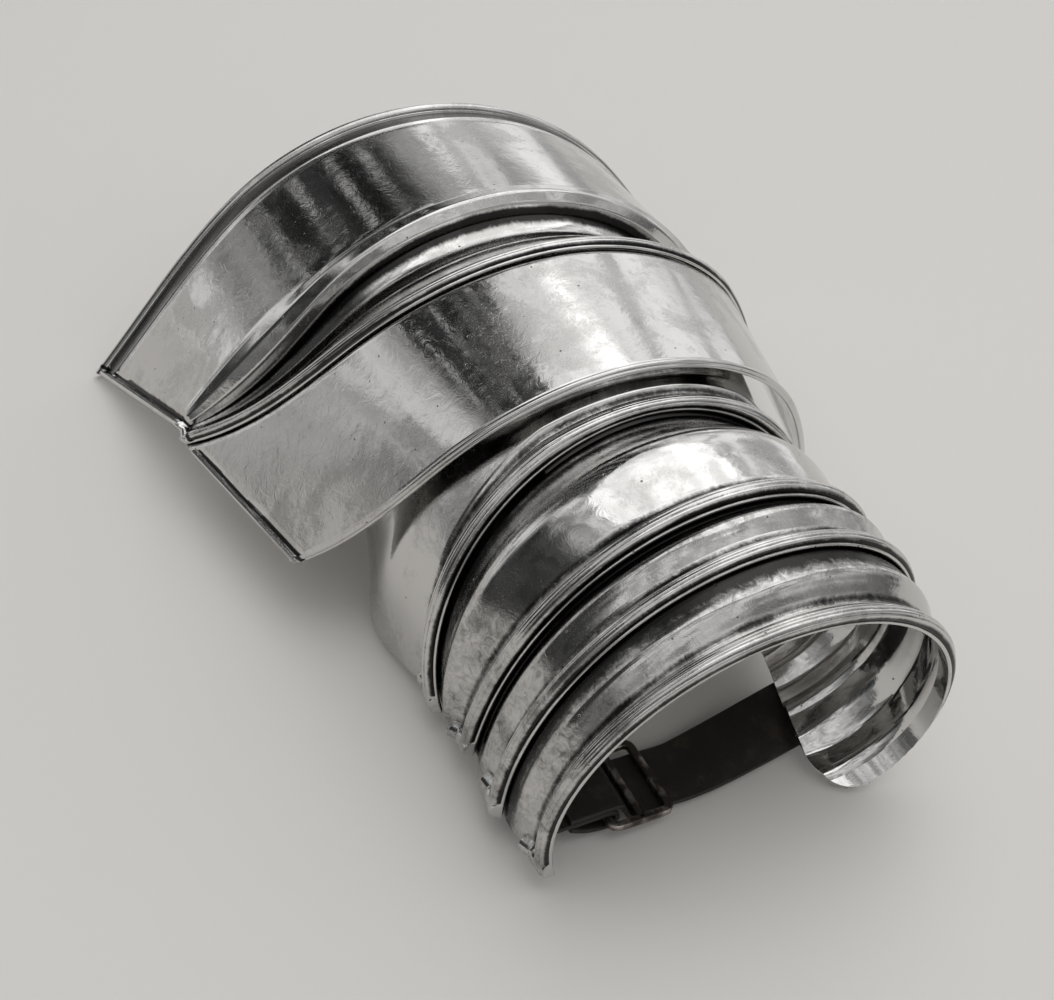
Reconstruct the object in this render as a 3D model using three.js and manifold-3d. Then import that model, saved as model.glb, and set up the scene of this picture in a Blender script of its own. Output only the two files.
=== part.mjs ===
// Left-hand steel pauldron: shoulder wings, four lames over the upper arm and a buckled arm strap.
// Millimetres, +Z up. It lies on its edges, open side down: +X runs from the neck to the elbow.
import * as THREE from 'three';
import { mergeVertices } from 'three/addons/utils/BufferGeometryUtils.js';
import Module from 'manifold-3d';

const wasm = await Module();
wasm.setup();

// Overall sizes
const shoulderLength = 310;      // crown of the neck rim to the crown of the last lame's rim
const crownHeight = 140;         // highest crown above the axis that the ribs are drawn round
const wingGirth = 384;           // neck rim, measured round the arch from tip to tip
const lameGirth = 300;           // widest lame, measured round the arch

// Sheet steel
const sheet = 1.5;
const lapGap = 0.55;             // clearance between two lapped plates
const lapRun = 2.2;              // the lower plate keeps straight this far past the rim above it
const lap = 14;                  // how far the first lame reaches up inside the shoulder plate
const waistSetback = 6;          // its waist to the shoulder plate's rim
const waistReach = 0.08;         // extra reach of its ends between the laps, as a share of its girth

// Rolled edges: radius of the half-round bead
const neckRoll = 2.1;            // outer border of the neck plate
const wingEndRoll = 1.5;         // end edges of the two wings
const ridgeRoll = 2.4;
const shoulderRoll = 1.2;
const lameRoll = 3.2;
const rollReturn = 13;           // a lame's roll turns its corner and runs this far up the end edge
const filletWidth = 5;           // hollow beside a roll
const backCorner = 16;           // radius of the last lame's back corner

// Border groove inside the neck and shoulder borders
const grooveWidth = 6.6;
const grooveDepth = 0.7;
const grooveEdge = 0.6;          // slope at each side of the groove

// Embossed ridge and valley of the neck plate
const ridgeHeight = 7;
const valleyDepth = 6;

// Arm strap
const strapWidth = 24;
const strapSheet = 1.8;
const strapGap = 0.45;
const strapClear = 0.8;          // strap to the roll that it lies over
const strapTail = 15;            // free end past the buckle
const chapeReturn = 14;          // folded end under the buckle
const chapeClear = 1.7;          // the chape bridges the step at the fourth lame's upper edge
const rivetRadius = 1.8;
const rivetHead = 3.6;
const rivetCrown = 1.3;
const rivetHoleGap = 0.45;
const rivetFlush = 0.15;         // a rivet's peened end stays this far inside the steel
const rivetInset = 9.5;          // back rivets to the third lame's rim

// Buckle: a flat frame with a centre bar
const buckleLength = 25;
const buckleWidth = 33;
const buckleBar = 3;
const buckleThickness = 2.6;
const buckleCorner = 4;
const buckleLift = 6.4;          // bars above the surface that the part lies on
const buckleShare = 0.65;        // its place on the way from the back lames to the front ones
const strapBow = 6;              // how far the strap bows towards the elbow there

const radians = THREE.MathUtils.degToRad;
const vec = (x, y, z) => new THREE.Vector3(x, y, z);

// Ribs of the wings, symmetric about y = 0. along and girth and sweep are shares of the overall
// sizes, turn is the angle that the arch turns through from crown to tip, and flare bends it back.
const wingRibs = {
  neckRim:   { along: 0.000, crown: 0.722, girth: 0.498, turn: 87, flare: 36, lean: 0.16, sweep: 0.006 },
  ridgeFoot: { along: 0.261, crown: 0.835, girth: 0.429, turn: 77, flare: 23, lean: 0.17, sweep: -0.011 },
  ridgeEdge: { along: 0.303, crown: 0.824, girth: 0.421, turn: 98, flare: 78, lean: 0.06, sweep: -0.012 },
  ridgeBead: { along: 0.442, crown: 0.955, girth: 0.456, turn: 97, flare: 49, lean: 0.05, sweep: -0.130 },
  shoulder:  { along: 0.653, crown: 0.965, girth: 0.399, turn: 102, flare: 49, lean: 0.03, sweep: -0.086 },
};

// Ribs of the lames: turn on the front and the back side, hook and tilt shape the arch between.
const lameRibs = {
  waist: { along: 0.000, crown: 0.000, girth: 0.460, side: 0.000, front: 102, back: 146, hook: -14,
    tilt: -22, lean: -0.36 },
  rim1: { along: 0.687, crown: 0.895, girth: 0.462, side: 0.000, front: 104, back: 146, hook: -22,
    tilt: -22, lean: 0.38 },
  rim2: { along: 0.852, crown: 0.967, girth: 0.467, side: 0.020, front: 87, back: 151, hook: 3,
    tilt: -33, lean: 0.07 },
  rim3: { along: 0.923, crown: 0.974, girth: 0.487, side: 0.037, front: 93, back: 166, hook: -10,
    tilt: -34, lean: 0.105 },
  rim4: { along: 0.997, crown: 0.896, girth: 0.474, side: 0.060, front: 109, back: 185, hook: -42,
    tilt: -31, lean: 0.136 },
};

// Swell of each lame between its laps, in mm
const lameSwell = { lame1: -1.5, lame2: 5, lame3: 3.5, lame4: 2.5 };
const waistFlank = 12;           // extra swell of the first lame's front flank

// Rows between two ribs: share of the way, with their height as a share of the form's own
const ridgeRows = [{ share: 0.3, lift: 0.8 }, { share: 0.55, lift: 1 }, { share: 0.8, lift: 0.8 }];
const valleyRows = [{ share: 0.12, lift: 0.85 }, { share: 0.28, lift: 1 }, { share: 0.5, lift: 0.45 }];
const fieldRows = [
  { share: 0.25, lift: 0.45, reach: 0.8 },
  { share: 0.5, lift: 1, reach: 1 },
  { share: 0.75, lift: 0.6, reach: 0.7 },
];

// Shares round the third and the fourth lame where the leather lies on them and is riveted
const strapShares = [0.84, 0.88, 0.92, 0.96, 0.99];
const chapeShares = [-0.74, -0.8, -0.86, -0.92];
const backRivetShares = [0.875, 0.925];
const frontRivetShares = [-0.78, -0.85];
const leatherEndShare = 0.99;

const wingColumnCount = 22;
const lameColumnCount = 18;
const arcSteps = 48;

// Walks round an arch whose tangent angle is given, from the crown outwards.
function walkArch(angleAt, length, share) {
  let across = 0;
  let drop = 0;
  const steps = Math.max(1, Math.round(arcSteps * Math.abs(share)));
  for (let i = 0; i < steps; i += 1) {
    const angle = angleAt((share * (i + 0.5)) / steps);
    across += (Math.cos(angle) * length * share) / steps;
    drop += (Math.sin(angle) * length * share) / steps;
  }
  return { across, drop };
}

function wingRib(row) {
  const girth = row.girth * wingGirth;
  const angleAt = (s) => radians(row.turn * s - row.flare * Math.max(0, (s - 0.5) / 0.5) ** 1.5);
  return (t) => {
    const { across, drop } = walkArch(angleAt, girth, Math.abs(t));
    const x = row.along * shoulderLength + row.lean * drop + row.sweep * shoulderLength * Math.abs(t) ** 3;
    return vec(x, Math.sign(t) * across, row.crown * crownHeight - drop);
  };
}

function lameRib(row) {
  const girth = row.girth * lameGirth;
  const angleAt = (t) => radians((-row.front * (1 - t)) / 2 + (row.back * (1 + t)) / 2
    + row.hook * (t - t ** 3) + row.tilt * (1 - t * t));
  return (t) => {
    const { across, drop } = walkArch(angleAt, girth, t);
    const x = row.along * shoulderLength + row.lean * drop;
    return vec(x, row.side * lameGirth + across, row.crown * crownHeight - drop);
  };
}

const ribs = {};
for (const [name, row] of Object.entries(wingRibs)) ribs[name] = wingRib(row);
for (const [name, row] of Object.entries(lameRibs)) ribs[name] = lameRib(row);

// Columns run from the front tip, t = -1, to the back tip, t = 1, closer together in the end rolls.
function columnShares(count, roll, halfGirth) {
  const ends = [0, 0.3, 1, 1.7, 2, 3.4].map((k) => (k * roll) / halfGirth);
  const last = ends[ends.length - 1];
  const inner = [];
  for (let i = 1; i < count; i += 1) inner.push(-1 + last + ((2 - 2 * last) * i) / count);
  return [...ends.map((d) => d - 1), ...inner, ...ends.map((d) => 1 - d).reverse()];
}

const halfRound = (distance, radius) => (
  distance > 0 && distance < 2 * radius ? Math.sqrt(radius ** 2 - (distance - radius) ** 2) : 0);

const mix = (a, b, share) => a.clone().lerp(b, share);

// A plate is a closed sheet over a grid. Each row gives its place on the middle of the sheet for
// every column, its lift along the surface normal, and the height of a bead that stands on it.
class Plate {
  constructor(rows, columns, endBead, corner = 0) {
    this.columns = columns;
    this.base = rows.map((row) => columns.map((t, c) => row.at(t, c)));
    this.normals = this.gridNormals(this.base);
    this.middle = this.base.map((line, r) => line.map((p, c) => (
      p.clone().addScaledVector(this.normals[r][c], rows[r].lift ? rows[r].lift(columns[c]) : 0))));
    const ends = this.distances().map((line) => line[columns.length - 1]);
    this.middle = this.middle.map((line, r) => (
      ends[r] < corner ? this.drawnBack(line, ends[r], corner) : line));
    this.normals = this.gridNormals(this.middle);
    this.rimDistance = this.distances();
    this.beads = rows.map((row, r) => columns.map((t, c) => (
      Math.max(row.bead ? row.bead(t, c) : 0, endBead(this.endDistance(r, c), this.rimDistance[r][c], r)))));
  }

  // A row drawn back at its back end, so that the plate's corner is rounded
  drawnBack(line, fromRim, radius) {
    const back = radius - Math.sqrt(radius ** 2 - (radius - fromRim) ** 2);
    const along = [0];
    for (let i = 1; i < line.length; i += 1) along.push(along[i - 1] + line[i].distanceTo(line[i - 1]));
    const crown = along[Math.floor(line.length / 2)];
    const length = along[line.length - 1] - crown;
    return line.map((p, i) => {
      if (along[i] <= crown) return p;
      const place = along[i] - back * ((along[i] - crown) / length) ** 4;
      let k = i;
      while (along[k - 1] > place) k -= 1;
      return mix(line[k - 1], line[k], (place - along[k - 1]) / (along[k] - along[k - 1]));
    });
  }

  gridNormals(grid) {
    const lastRow = grid.length - 1;
    const lastColumn = grid[0].length - 1;
    return grid.map((line, r) => line.map((p, c) => {
      const down = grid[Math.min(r + 1, lastRow)][c].clone().sub(grid[Math.max(r - 1, 0)][c]);
      const round = line[Math.min(c + 1, lastColumn)].clone().sub(line[Math.max(c - 1, 0)]);
      return down.cross(round).normalize();
    }));
  }

  distances() {
    const lastRow = this.middle.length - 1;
    const out = this.middle.map((line) => line.map(() => 0));
    for (let r = lastRow - 1; r >= 0; r -= 1) {
      for (let c = 0; c < this.columns.length; c += 1) {
        out[r][c] = out[r + 1][c] + this.middle[r][c].distanceTo(this.middle[r + 1][c]);
      }
    }
    return out;
  }

  endDistance(r, c) {
    const line = this.middle[r];
    const last = line.length - 1;
    const step = c <= last / 2 ? -1 : 1;
    let distance = 0;
    for (let i = c; i !== (step < 0 ? 0 : last); i += step) distance += line[i].distanceTo(line[i + step]);
    return distance;
  }

  // Point and normal on the middle of the sheet, at a distance up from the rim, in one column
  fromRim(distance, c) {
    let r = this.middle.length - 1;
    while (r > 1 && this.rimDistance[r - 1][c] < distance) r -= 1;
    const span = this.rimDistance[r - 1][c] - this.rimDistance[r][c];
    const share = (distance - this.rimDistance[r][c]) / span;
    return {
      point: mix(this.middle[r][c], this.middle[r - 1][c], share),
      normal: mix(this.normals[r][c], this.normals[r - 1][c], share).normalize(),
    };
  }

  // Row for the next plate, lying inside one of this plate's rows, counted from its rim
  under(rowsUp) {
    const last = this.middle.length - 1;
    const r = last - rowsUp;
    const flat = Math.min(r + 1, last);
    return (t, c) => this.middle[r][c].clone().addScaledVector(this.normals[flat][c], -(sheet + lapGap));
  }

  // The same just past the rim, where the next plate is free to bend away
  pastRim() {
    const last = this.middle.length - 1;
    const atRim = this.under(0);
    return (t, c) => {
      const onward = this.middle[last][c].clone().sub(this.middle[last - 1][c]).normalize();
      return atRim(t, c).addScaledVector(onward, lapRun);
    };
  }

  // Point and normal at any share t round the arch
  spot(distance, t) {
    let c = 0;
    while (c < this.columns.length - 2 && this.columns[c + 1] < t) c += 1;
    const share = (t - this.columns[c]) / (this.columns[c + 1] - this.columns[c]);
    const a = this.fromRim(distance, c);
    const b = this.fromRim(distance, c + 1);
    return { point: mix(a.point, b.point, share), normal: mix(a.normal, b.normal, share).normalize() };
  }

  // Distance from the rim to the middle of the lap that the plate above covers
  lapMiddle() {
    const c = Math.floor(this.columns.length / 2);
    return (this.rimDistance[0][c] + this.rimDistance[1][c]) / 2;
  }

  geometry() {
    const rows = this.middle.length;
    const cols = this.columns.length;
    const points = [];
    const offset = (r, c, height) => {
      const p = this.middle[r][c].clone().addScaledVector(this.normals[r][c], height);
      points.push(p.x, p.y, p.z);
    };
    for (let r = 0; r < rows; r += 1) {
      for (let c = 0; c < cols; c += 1) offset(r, c, sheet / 2 + this.beads[r][c]);
    }
    for (let r = 0; r < rows; r += 1) for (let c = 0; c < cols; c += 1) offset(r, c, -sheet / 2);
    const faces = [];
    const inside = rows * cols;
    const quad = (a, b, c, d) => faces.push(a, b, c, a, c, d);
    for (let r = 0; r < rows - 1; r += 1) {
      for (let c = 0; c < cols - 1; c += 1) {
        const a = r * cols + c;
        quad(a, a + cols, a + cols + 1, a + 1);
        quad(inside + a, inside + a + 1, inside + a + cols + 1, inside + a + cols);
      }
    }
    const rim = [];
    for (let c = 0; c < cols; c += 1) rim.push(c);
    for (let r = 1; r < rows; r += 1) rim.push(r * cols + cols - 1);
    for (let c = cols - 2; c >= 0; c -= 1) rim.push((rows - 1) * cols + c);
    for (let r = rows - 2; r > 0; r -= 1) rim.push(r * cols);
    rim.forEach((a, i) => {
      const b = rim[(i + 1) % rim.length];
      quad(a, b, inside + b, inside + a);
    });
    return meshGeometry(points, faces);
  }
}

function meshGeometry(points, faces) {
  const geometry = new THREE.BufferGeometry();
  geometry.setAttribute('position', new THREE.Float32BufferAttribute(points, 3));
  geometry.setIndex(faces);
  return geometry;
}

// Distances of the rows in a rolled edge, as multiples of the roll's radius
const rollRows = [0, 0.3, 1, 1.7, 2];
const edgeShare = 0.45;          // most of a plate's length that a rolled edge and its hollow take

const between = (a, b, share) => (t, c) => mix(a(t, c), b(t, c), share);

// Rows of a rolled edge at b, on a plate that runs on to a, from the edge inwards. Where the plate
// is too short for them they draw together.
function rolledEdge(a, b, roll, extras = []) {
  const reach = extras.length ? extras[extras.length - 1].distance : 2 * roll;
  const fit = (t, c) => Math.min(1, (edgeShare * a(t, c).distanceTo(b(t, c))) / reach);
  const row = (distance) => (t, c) => {
    const from = b(t, c);
    const to = a(t, c);
    return mix(from, to, (distance * fit(t, c)) / from.distanceTo(to));
  };
  return [
    ...rollRows.map((k) => ({ at: row(k * roll), bead: (t, c) => halfRound(k * roll, roll) * fit(t, c) })),
    ...extras.map(({ distance, lift }) => ({ at: row(distance), lift })),
  ];
}

const tipTaper = (t) => 1 - t ** 4;

// Neck plate: rolled border with a groove, the field, the ridge, the valley and the rise to the bead
function neckPlate(columns) {
  const { neckRim, ridgeFoot, ridgeEdge, ridgeBead } = ribs;
  const grooveStart = 2 * neckRoll + grooveEdge;
  const border = rolledEdge(ridgeFoot, neckRim, neckRoll, [
    { distance: grooveStart, lift: () => -grooveDepth },
    { distance: grooveStart + grooveWidth, lift: () => -grooveDepth },
    { distance: grooveStart + grooveWidth + grooveEdge },
  ]);
  const ridge = ({ share, lift }) => ({
    at: between(ridgeFoot, ridgeEdge, share), lift: (t) => lift * ridgeHeight * tipTaper(t) });
  const valley = ({ share, lift }) => ({
    at: between(ridgeEdge, ridgeBead, share), lift: (t) => -lift * valleyDepth * tipTaper(t) });
  const rows = [
    ...border,
    { at: between(neckRim, ridgeFoot, 0.5) },
    { at: ridgeFoot },
    ...ridgeRows.map(ridge),
    { at: ridgeEdge },
    ...valleyRows.map(valley),
    ...rolledEdge(ridgeEdge, ridgeBead, ridgeRoll).reverse(),
  ];
  return new Plate(rows, columns, (end) => halfRound(end, wingEndRoll));
}

// Shoulder plate: its upper edge lies under the neck plate's bead
function shoulderPlate(above, columns) {
  const tuck = above.under(rollRows.length - 1);
  const pass = above.pastRim();
  const rim = ribs.shoulder;
  const rows = [
    { at: tuck },
    { at: pass },
    ...[0.25, 0.5, 0.75].map((s) => ({ at: between(pass, rim, s) })),
    ...rolledEdge(pass, rim, shoulderRoll).reverse(),
  ];
  const lapped = rows.findIndex((row) => row.at === pass);
  return new Plate(rows, columns, (end, fromRim, r) => (r > lapped ? halfRound(end, wingEndRoll) : 0));
}

const lameEnd = (end, fromRim) => (fromRim < rollReturn ? halfRound(end, lameRoll) : 0);

// Field and rolled rim of a lame. The field swells by its own height, and its ends reach out.
function lameBody(pass, rim, swell, reach = 0, flank = 0) {
  const edge = rolledEdge(pass, rim, lameRoll, [{ distance: 2 * lameRoll + filletWidth }]).reverse();
  const field = fieldRows.map(({ share, lift, reach: out }) => ({
    at: (t, c) => {
      const far = t * (1 + reach * out * t * t);
      return mix(pass(far, c), edge[0].at(far, c), share);
    },
    lift: (t) => lift * (swell * (1 - 0.5 * t * t) + flank * Math.max(0, -t) ** 4),
  }));
  return [...field, ...edge];
}

// First lame: a short waist that reaches up inside the shoulder plate
function waistLame(above, columns, swell) {
  const inside = (distance) => {
    const { point, normal } = above.spot(distance, 0);
    return point.addScaledVector(normal, -(sheet + lapGap));
  };
  const crown = inside(waistSetback);
  const step = inside(waistSetback + lap).sub(crown);
  const waist = (t) => ribs.waist(t).add(crown);
  const rows = [
    { at: (t) => waist(t).add(step) },
    { at: waist },
    ...lameBody(waist, ribs.rim1, swell, waistReach, waistFlank),
  ];
  return new Plate(rows, columns, lameEnd);
}

// Further lames: the upper edge follows the inside of the lame above, as far as its hollow
function lappedLame(above, rim, columns, swell, corner = 0) {
  const pass = above.pastRim();
  const rows = [
    { at: above.under(rollRows.length) },
    { at: pass },
    ...lameBody(pass, rim, swell),
  ];
  return new Plate(rows, columns, lameEnd, corner);
}

const wingColumns = columnShares(wingColumnCount, wingEndRoll, wingGirth / 2);
const lameColumns = columnShares(lameColumnCount, lameRoll, lameGirth / 2);

const neck = neckPlate(wingColumns);
const shoulder = shoulderPlate(neck, wingColumns);
const lame1 = waistLame(shoulder, lameColumns, lameSwell.lame1);
const lame2 = lappedLame(lame1, ribs.rim2, lameColumns, lameSwell.lame2);
const lame3 = lappedLame(lame2, ribs.rim3, lameColumns, lameSwell.lame3);
const lame4 = lappedLame(lame3, ribs.rim4, lameColumns, lameSwell.lame4, backCorner);
const plates = { neck, shoulder, lame1, lame2, lame3, lame4 };
const plateGeometry = {};
for (const [name, plate] of Object.entries(plates)) plateGeometry[name] = plate.geometry();

// The part lies on the wings' tips and the last lame, so it is pitched until both touch.
function lowest(geometry, pitch) {
  const position = geometry.attributes.position;
  let best = { height: Infinity };
  for (let i = 0; i < position.count; i += 1) {
    const x = position.getX(i);
    const z = position.getZ(i);
    const height = z * Math.cos(pitch) - x * Math.sin(pitch);
    if (height < best.height) best = { height, x, z };
  }
  return best;
}

function restPitch() {
  let pitch = 0;
  for (let round = 0; round < 12; round += 1) {
    const tip = lowest(plateGeometry.neck, pitch);
    const foot = lowest(plateGeometry.lame4, pitch);
    pitch = Math.atan2(foot.z - tip.z, foot.x - tip.x);
  }
  return pitch;
}

const pitch = restPitch();
const rest = new THREE.Matrix4().makeRotationY(pitch);
for (const geometry of Object.values(plateGeometry)) geometry.applyMatrix4(rest);

// The origin is at the middle of the part's outline on the surface, at the height of the surface.
const outline = new THREE.Box3();
for (const geometry of Object.values(plateGeometry)) {
  geometry.computeBoundingBox();
  outline.union(geometry.boundingBox);
}
const centre = outline.getCenter(vec(0, 0, 0));
const settle = new THREE.Matrix4().makeTranslation(-centre.x, -centre.y, -outline.min.z);
for (const geometry of Object.values(plateGeometry)) geometry.applyMatrix4(settle);
const place = settle.clone().multiply(rest);

// A spot on a plate where the part lies, with the direction to the rim
function placedSpot(plate, distance, t) {
  const { point } = plate.spot(distance, t);
  const toRim = plate.spot(0, t).point.sub(point).normalize();
  return { point: point.applyMatrix4(place), toRim: toRim.transformDirection(place) };
}

// Leather band: a flat section swept along stations that give its centre and its width's direction
function band(stations, width, thickness) {
  const points = [];
  const faces = [];
  stations.forEach(({ point, across }, i) => {
    const before = stations[Math.max(i - 1, 0)].point;
    const after = stations[Math.min(i + 1, stations.length - 1)].point;
    const along = after.clone().sub(before).normalize();
    const side = across.clone().addScaledVector(along, -across.dot(along)).normalize();
    const up = along.clone().cross(side);
    for (const [a, b] of [[-1, -1], [1, -1], [1, 1], [-1, 1]]) {
      const p = point.clone()
        .addScaledVector(side, (a * width) / 2)
        .addScaledVector(up, (b * thickness) / 2);
      points.push(p.x, p.y, p.z);
    }
    if (i === 0) return;
    const o = 4 * (i - 1);
    for (let k = 0; k < 4; k += 1) {
      const a = o + k;
      const b = o + ((k + 1) % 4);
      faces.push(a, b, b + 4, a, b + 4, a + 4);
    }
  });
  const end = 4 * (stations.length - 1);
  faces.push(0, 2, 1, 0, 3, 2, end, end + 1, end + 2, end, end + 2, end + 3);
  return meshGeometry(points, faces);
}

// Smooth stations through a few chosen ones
function smoothStations(chosen, count) {
  const line = new THREE.CatmullRomCurve3(chosen.map((s) => s.point), false, 'centripetal');
  const stations = [];
  for (let i = 0; i <= count; i += 1) {
    const share = i / count;
    const at = share * (chosen.length - 1);
    const k = Math.min(Math.floor(at), chosen.length - 2);
    const across = mix(chosen[k].across, chosen[k + 1].across, at - k);
    stations.push({ point: line.getPoint(share), across });
  }
  return stations;
}

// Ends of the strap on the lames. The back one lies outside the third lame, over its roll, and the
// front one inside the fourth. up is the band's own normal, on the side away from the arm's axis.
const backOffset = sheet / 2 + lameRoll + strapClear + strapSheet / 2;
const frontOffset = sheet / 2 + chapeClear + strapSheet / 2;
function bandSpot(plate, distance, t, offset) {
  const here = placedSpot(plate, distance, t);
  const next = placedSpot(plate, distance, t + 0.01);
  const last = placedSpot(plate, distance, t - 0.01);
  const along = next.point.sub(last.point).normalize();
  const up = here.toRim.clone().cross(along).normalize();
  const steel = here.point;
  return { point: steel.clone().addScaledVector(up, offset), across: here.toRim, up, steel };
}
const backSpot = (t) => bandSpot(lame3, rivetInset, t, backOffset);
const frontSpot = (t) => bandSpot(lame4, lame4.lapMiddle(), t, -frontOffset);

// The buckle's own frame: v runs from the front to the back, w up, u across the strap.
const backEnd = backSpot(leatherEndShare).point;
const frontEnd = frontSpot(-leatherEndShare).point;
const buckleV = backEnd.clone().sub(frontEnd).setZ(0).normalize();
const buckleU = buckleV.clone().cross(vec(0, 0, 1));
const buckleCentre = mix(backEnd, frontEnd, buckleShare).addScaledVector(buckleU, strapBow).setZ(buckleLift);
const onBuckle = (v, w) => ({
  point: buckleCentre.clone().addScaledVector(buckleV, v).add(vec(0, 0, w)), across: buckleU });

const barOffset = buckleLength / 2 - buckleBar / 2;
const loopRadius = Math.hypot(buckleBar, buckleThickness) / 2 + strapGap + strapSheet / 2;
const strapLow = -(buckleThickness / 2 + strapGap + strapSheet / 2);
const strapHigh = loopRadius + strapSheet + strapGap;

// The strap comes from the back lames, passes under two bars and climbs over the third.
function strapStations() {
  const climbStart = -buckleBar / 2;
  const climbEnd = -(barOffset - loopRadius);
  const climb = [0, 0.2, 0.4, 0.6, 0.8, 1].map((s) => (
    onBuckle(climbStart + (climbEnd - climbStart) * s,
      strapLow + (strapHigh - strapLow) * THREE.MathUtils.smoothstep(s, 0, 1))));
  const far = smoothStations([
    ...strapShares.map(backSpot),
    onBuckle(buckleLength, strapLow),
    onBuckle(buckleLength / 2, strapLow),
  ], 26);
  const tail = onBuckle(-(barOffset + strapTail), strapHigh);
  return [...far, onBuckle(buckleBar, strapLow), ...climb, onBuckle(-barOffset, strapHigh), tail];
}

// The chape comes from the front lame, folds round the buckle's near bar and ends under itself.
function chapeStations() {
  const fold = [];
  const foldSteps = 10;
  for (let i = 0; i <= foldSteps; i += 1) {
    const angle = Math.PI * (0.5 - i / foldSteps);
    fold.push(onBuckle(-barOffset + loopRadius * Math.cos(angle), loopRadius * Math.sin(angle)));
  }
  const under = loopRadius - strapSheet - strapGap;
  const back = [0.35, 0.7, 1].map((s) => (
    onBuckle(-barOffset - chapeReturn * s, -loopRadius + (under + loopRadius) * s * s)));
  const run = smoothStations([
    ...chapeShares.map(frontSpot),
    onBuckle(-(barOffset + strapTail + strapTail / 2), loopRadius + strapSheet),
    onBuckle(-(barOffset + strapTail), loopRadius),
    onBuckle(-(barOffset + strapTail / 2), loopRadius),
  ], 18);
  return [...run, ...fold, ...back];
}

function buckleFrame() {
  const rounded = (length, width, corner) => {
    const shape = new THREE.Shape();
    const [x, y] = [width / 2, length / 2];
    shape.moveTo(-x + corner, -y);
    shape.lineTo(x - corner, -y);
    shape.absarc(x - corner, -y + corner, corner, -Math.PI / 2, 0);
    shape.absarc(x - corner, y - corner, corner, 0, Math.PI / 2);
    shape.absarc(-x + corner, y - corner, corner, Math.PI / 2, Math.PI);
    shape.absarc(-x + corner, -y + corner, corner, Math.PI, Math.PI * 1.5);
    return shape;
  };
  const frame = rounded(buckleLength, buckleWidth, buckleCorner);
  const windowHalf = buckleWidth / 2 - buckleBar;
  for (const side of [-1, 1]) {
    const [a, b] = [side * (buckleBar / 2), side * (buckleLength / 2 - buckleBar)];
    const hole = new THREE.Path();
    hole.moveTo(-windowHalf, a);
    hole.lineTo(windowHalf, a);
    hole.lineTo(windowHalf, b);
    hole.lineTo(-windowHalf, b);
    hole.closePath();
    frame.holes.push(hole);
  }
  const geometry = new THREE.ExtrudeGeometry(frame, {
    depth: buckleThickness, bevelEnabled: false, curveSegments: 4 });
  geometry.translate(0, 0, -buckleThickness / 2);
  const turn = new THREE.Matrix4().makeBasis(buckleU, buckleV, vec(0, 0, 1));
  geometry.applyMatrix4(turn.setPosition(buckleCentre));
  return geometry;
}

// Rivet: a domed head on the leather, and a shank that ends flush in the steel. outward points
// from the steel to the head.
const rivetSides = 10;
function rivet(steel, outward, seat) {
  const profile = [new THREE.Vector2(0, -sheet / 2 + rivetFlush), new THREE.Vector2(rivetRadius,
    -sheet / 2 + rivetFlush), new THREE.Vector2(rivetRadius, seat)];
  const domeSteps = 3;
  for (let i = 0; i <= domeSteps; i += 1) {
    const angle = (Math.PI / 2) * (i / domeSteps);
    profile.push(new THREE.Vector2(rivetHead * Math.cos(angle), seat + rivetCrown * Math.sin(angle)));
  }
  profile[profile.length - 1].x = 0;
  const geometry = new THREE.LatheGeometry(profile, rivetSides);
  geometry.rotateX(Math.PI / 2);
  const turn = new THREE.Quaternion().setFromUnitVectors(vec(0, 0, 1), outward);
  geometry.applyMatrix4(new THREE.Matrix4().makeRotationFromQuaternion(turn).setPosition(steel));
  return geometry;
}

function drill(steel, outward, radius, depth) {
  const geometry = new THREE.CylinderGeometry(radius, radius, depth, rivetSides);
  geometry.rotateX(Math.PI / 2);
  const turn = new THREE.Quaternion().setFromUnitVectors(vec(0, 0, 1), outward);
  geometry.applyMatrix4(new THREE.Matrix4().makeRotationFromQuaternion(turn).setPosition(steel));
  return geometry;
}

function solid(geometry) {
  const bare = geometry.clone();
  bare.deleteAttribute('normal');
  bare.deleteAttribute('uv');
  const merged = mergeVertices(bare, 1e-5);
  return new wasm.Manifold(new wasm.Mesh({
    numProp: 3,
    vertProperties: new Float32Array(merged.attributes.position.array),
    triVerts: new Uint32Array(merged.index.array),
  }));
}

function cut(geometry, tools) {
  let body = solid(geometry);
  for (const tool of tools) body = body.subtract(solid(tool));
  const { vertProperties, triVerts } = body.getMesh();
  return meshGeometry(Array.from(vertProperties), Array.from(triVerts));
}

const backRivets = backRivetShares.map(backSpot);
const frontRivets = frontRivetShares.map(frontSpot);
const drillDepth = 6 * backOffset;
const holeRadius = rivetRadius + rivetHoleGap;
const backDrills = backRivets.map((s) => drill(s.steel, s.up, holeRadius, drillDepth));
const frontDrills = frontRivets.map((s) => drill(s.steel, s.up, holeRadius, drillDepth));

const plateSteel = { color: 0xb9bcc0, roughness: 0.2, metalness: 1 };
const leather = { color: 0x1d1713, roughness: 0.6, metalness: 0 };
const buckleSteel = { color: 0x6a6462, roughness: 0.35, metalness: 1 };

const pauldron = new THREE.Group();
function addNode(name, geometry, look) {
  const mesh = new THREE.Mesh(geometry, new THREE.MeshStandardMaterial(look));
  mesh.name = name;
  pauldron.add(mesh);
}

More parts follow.
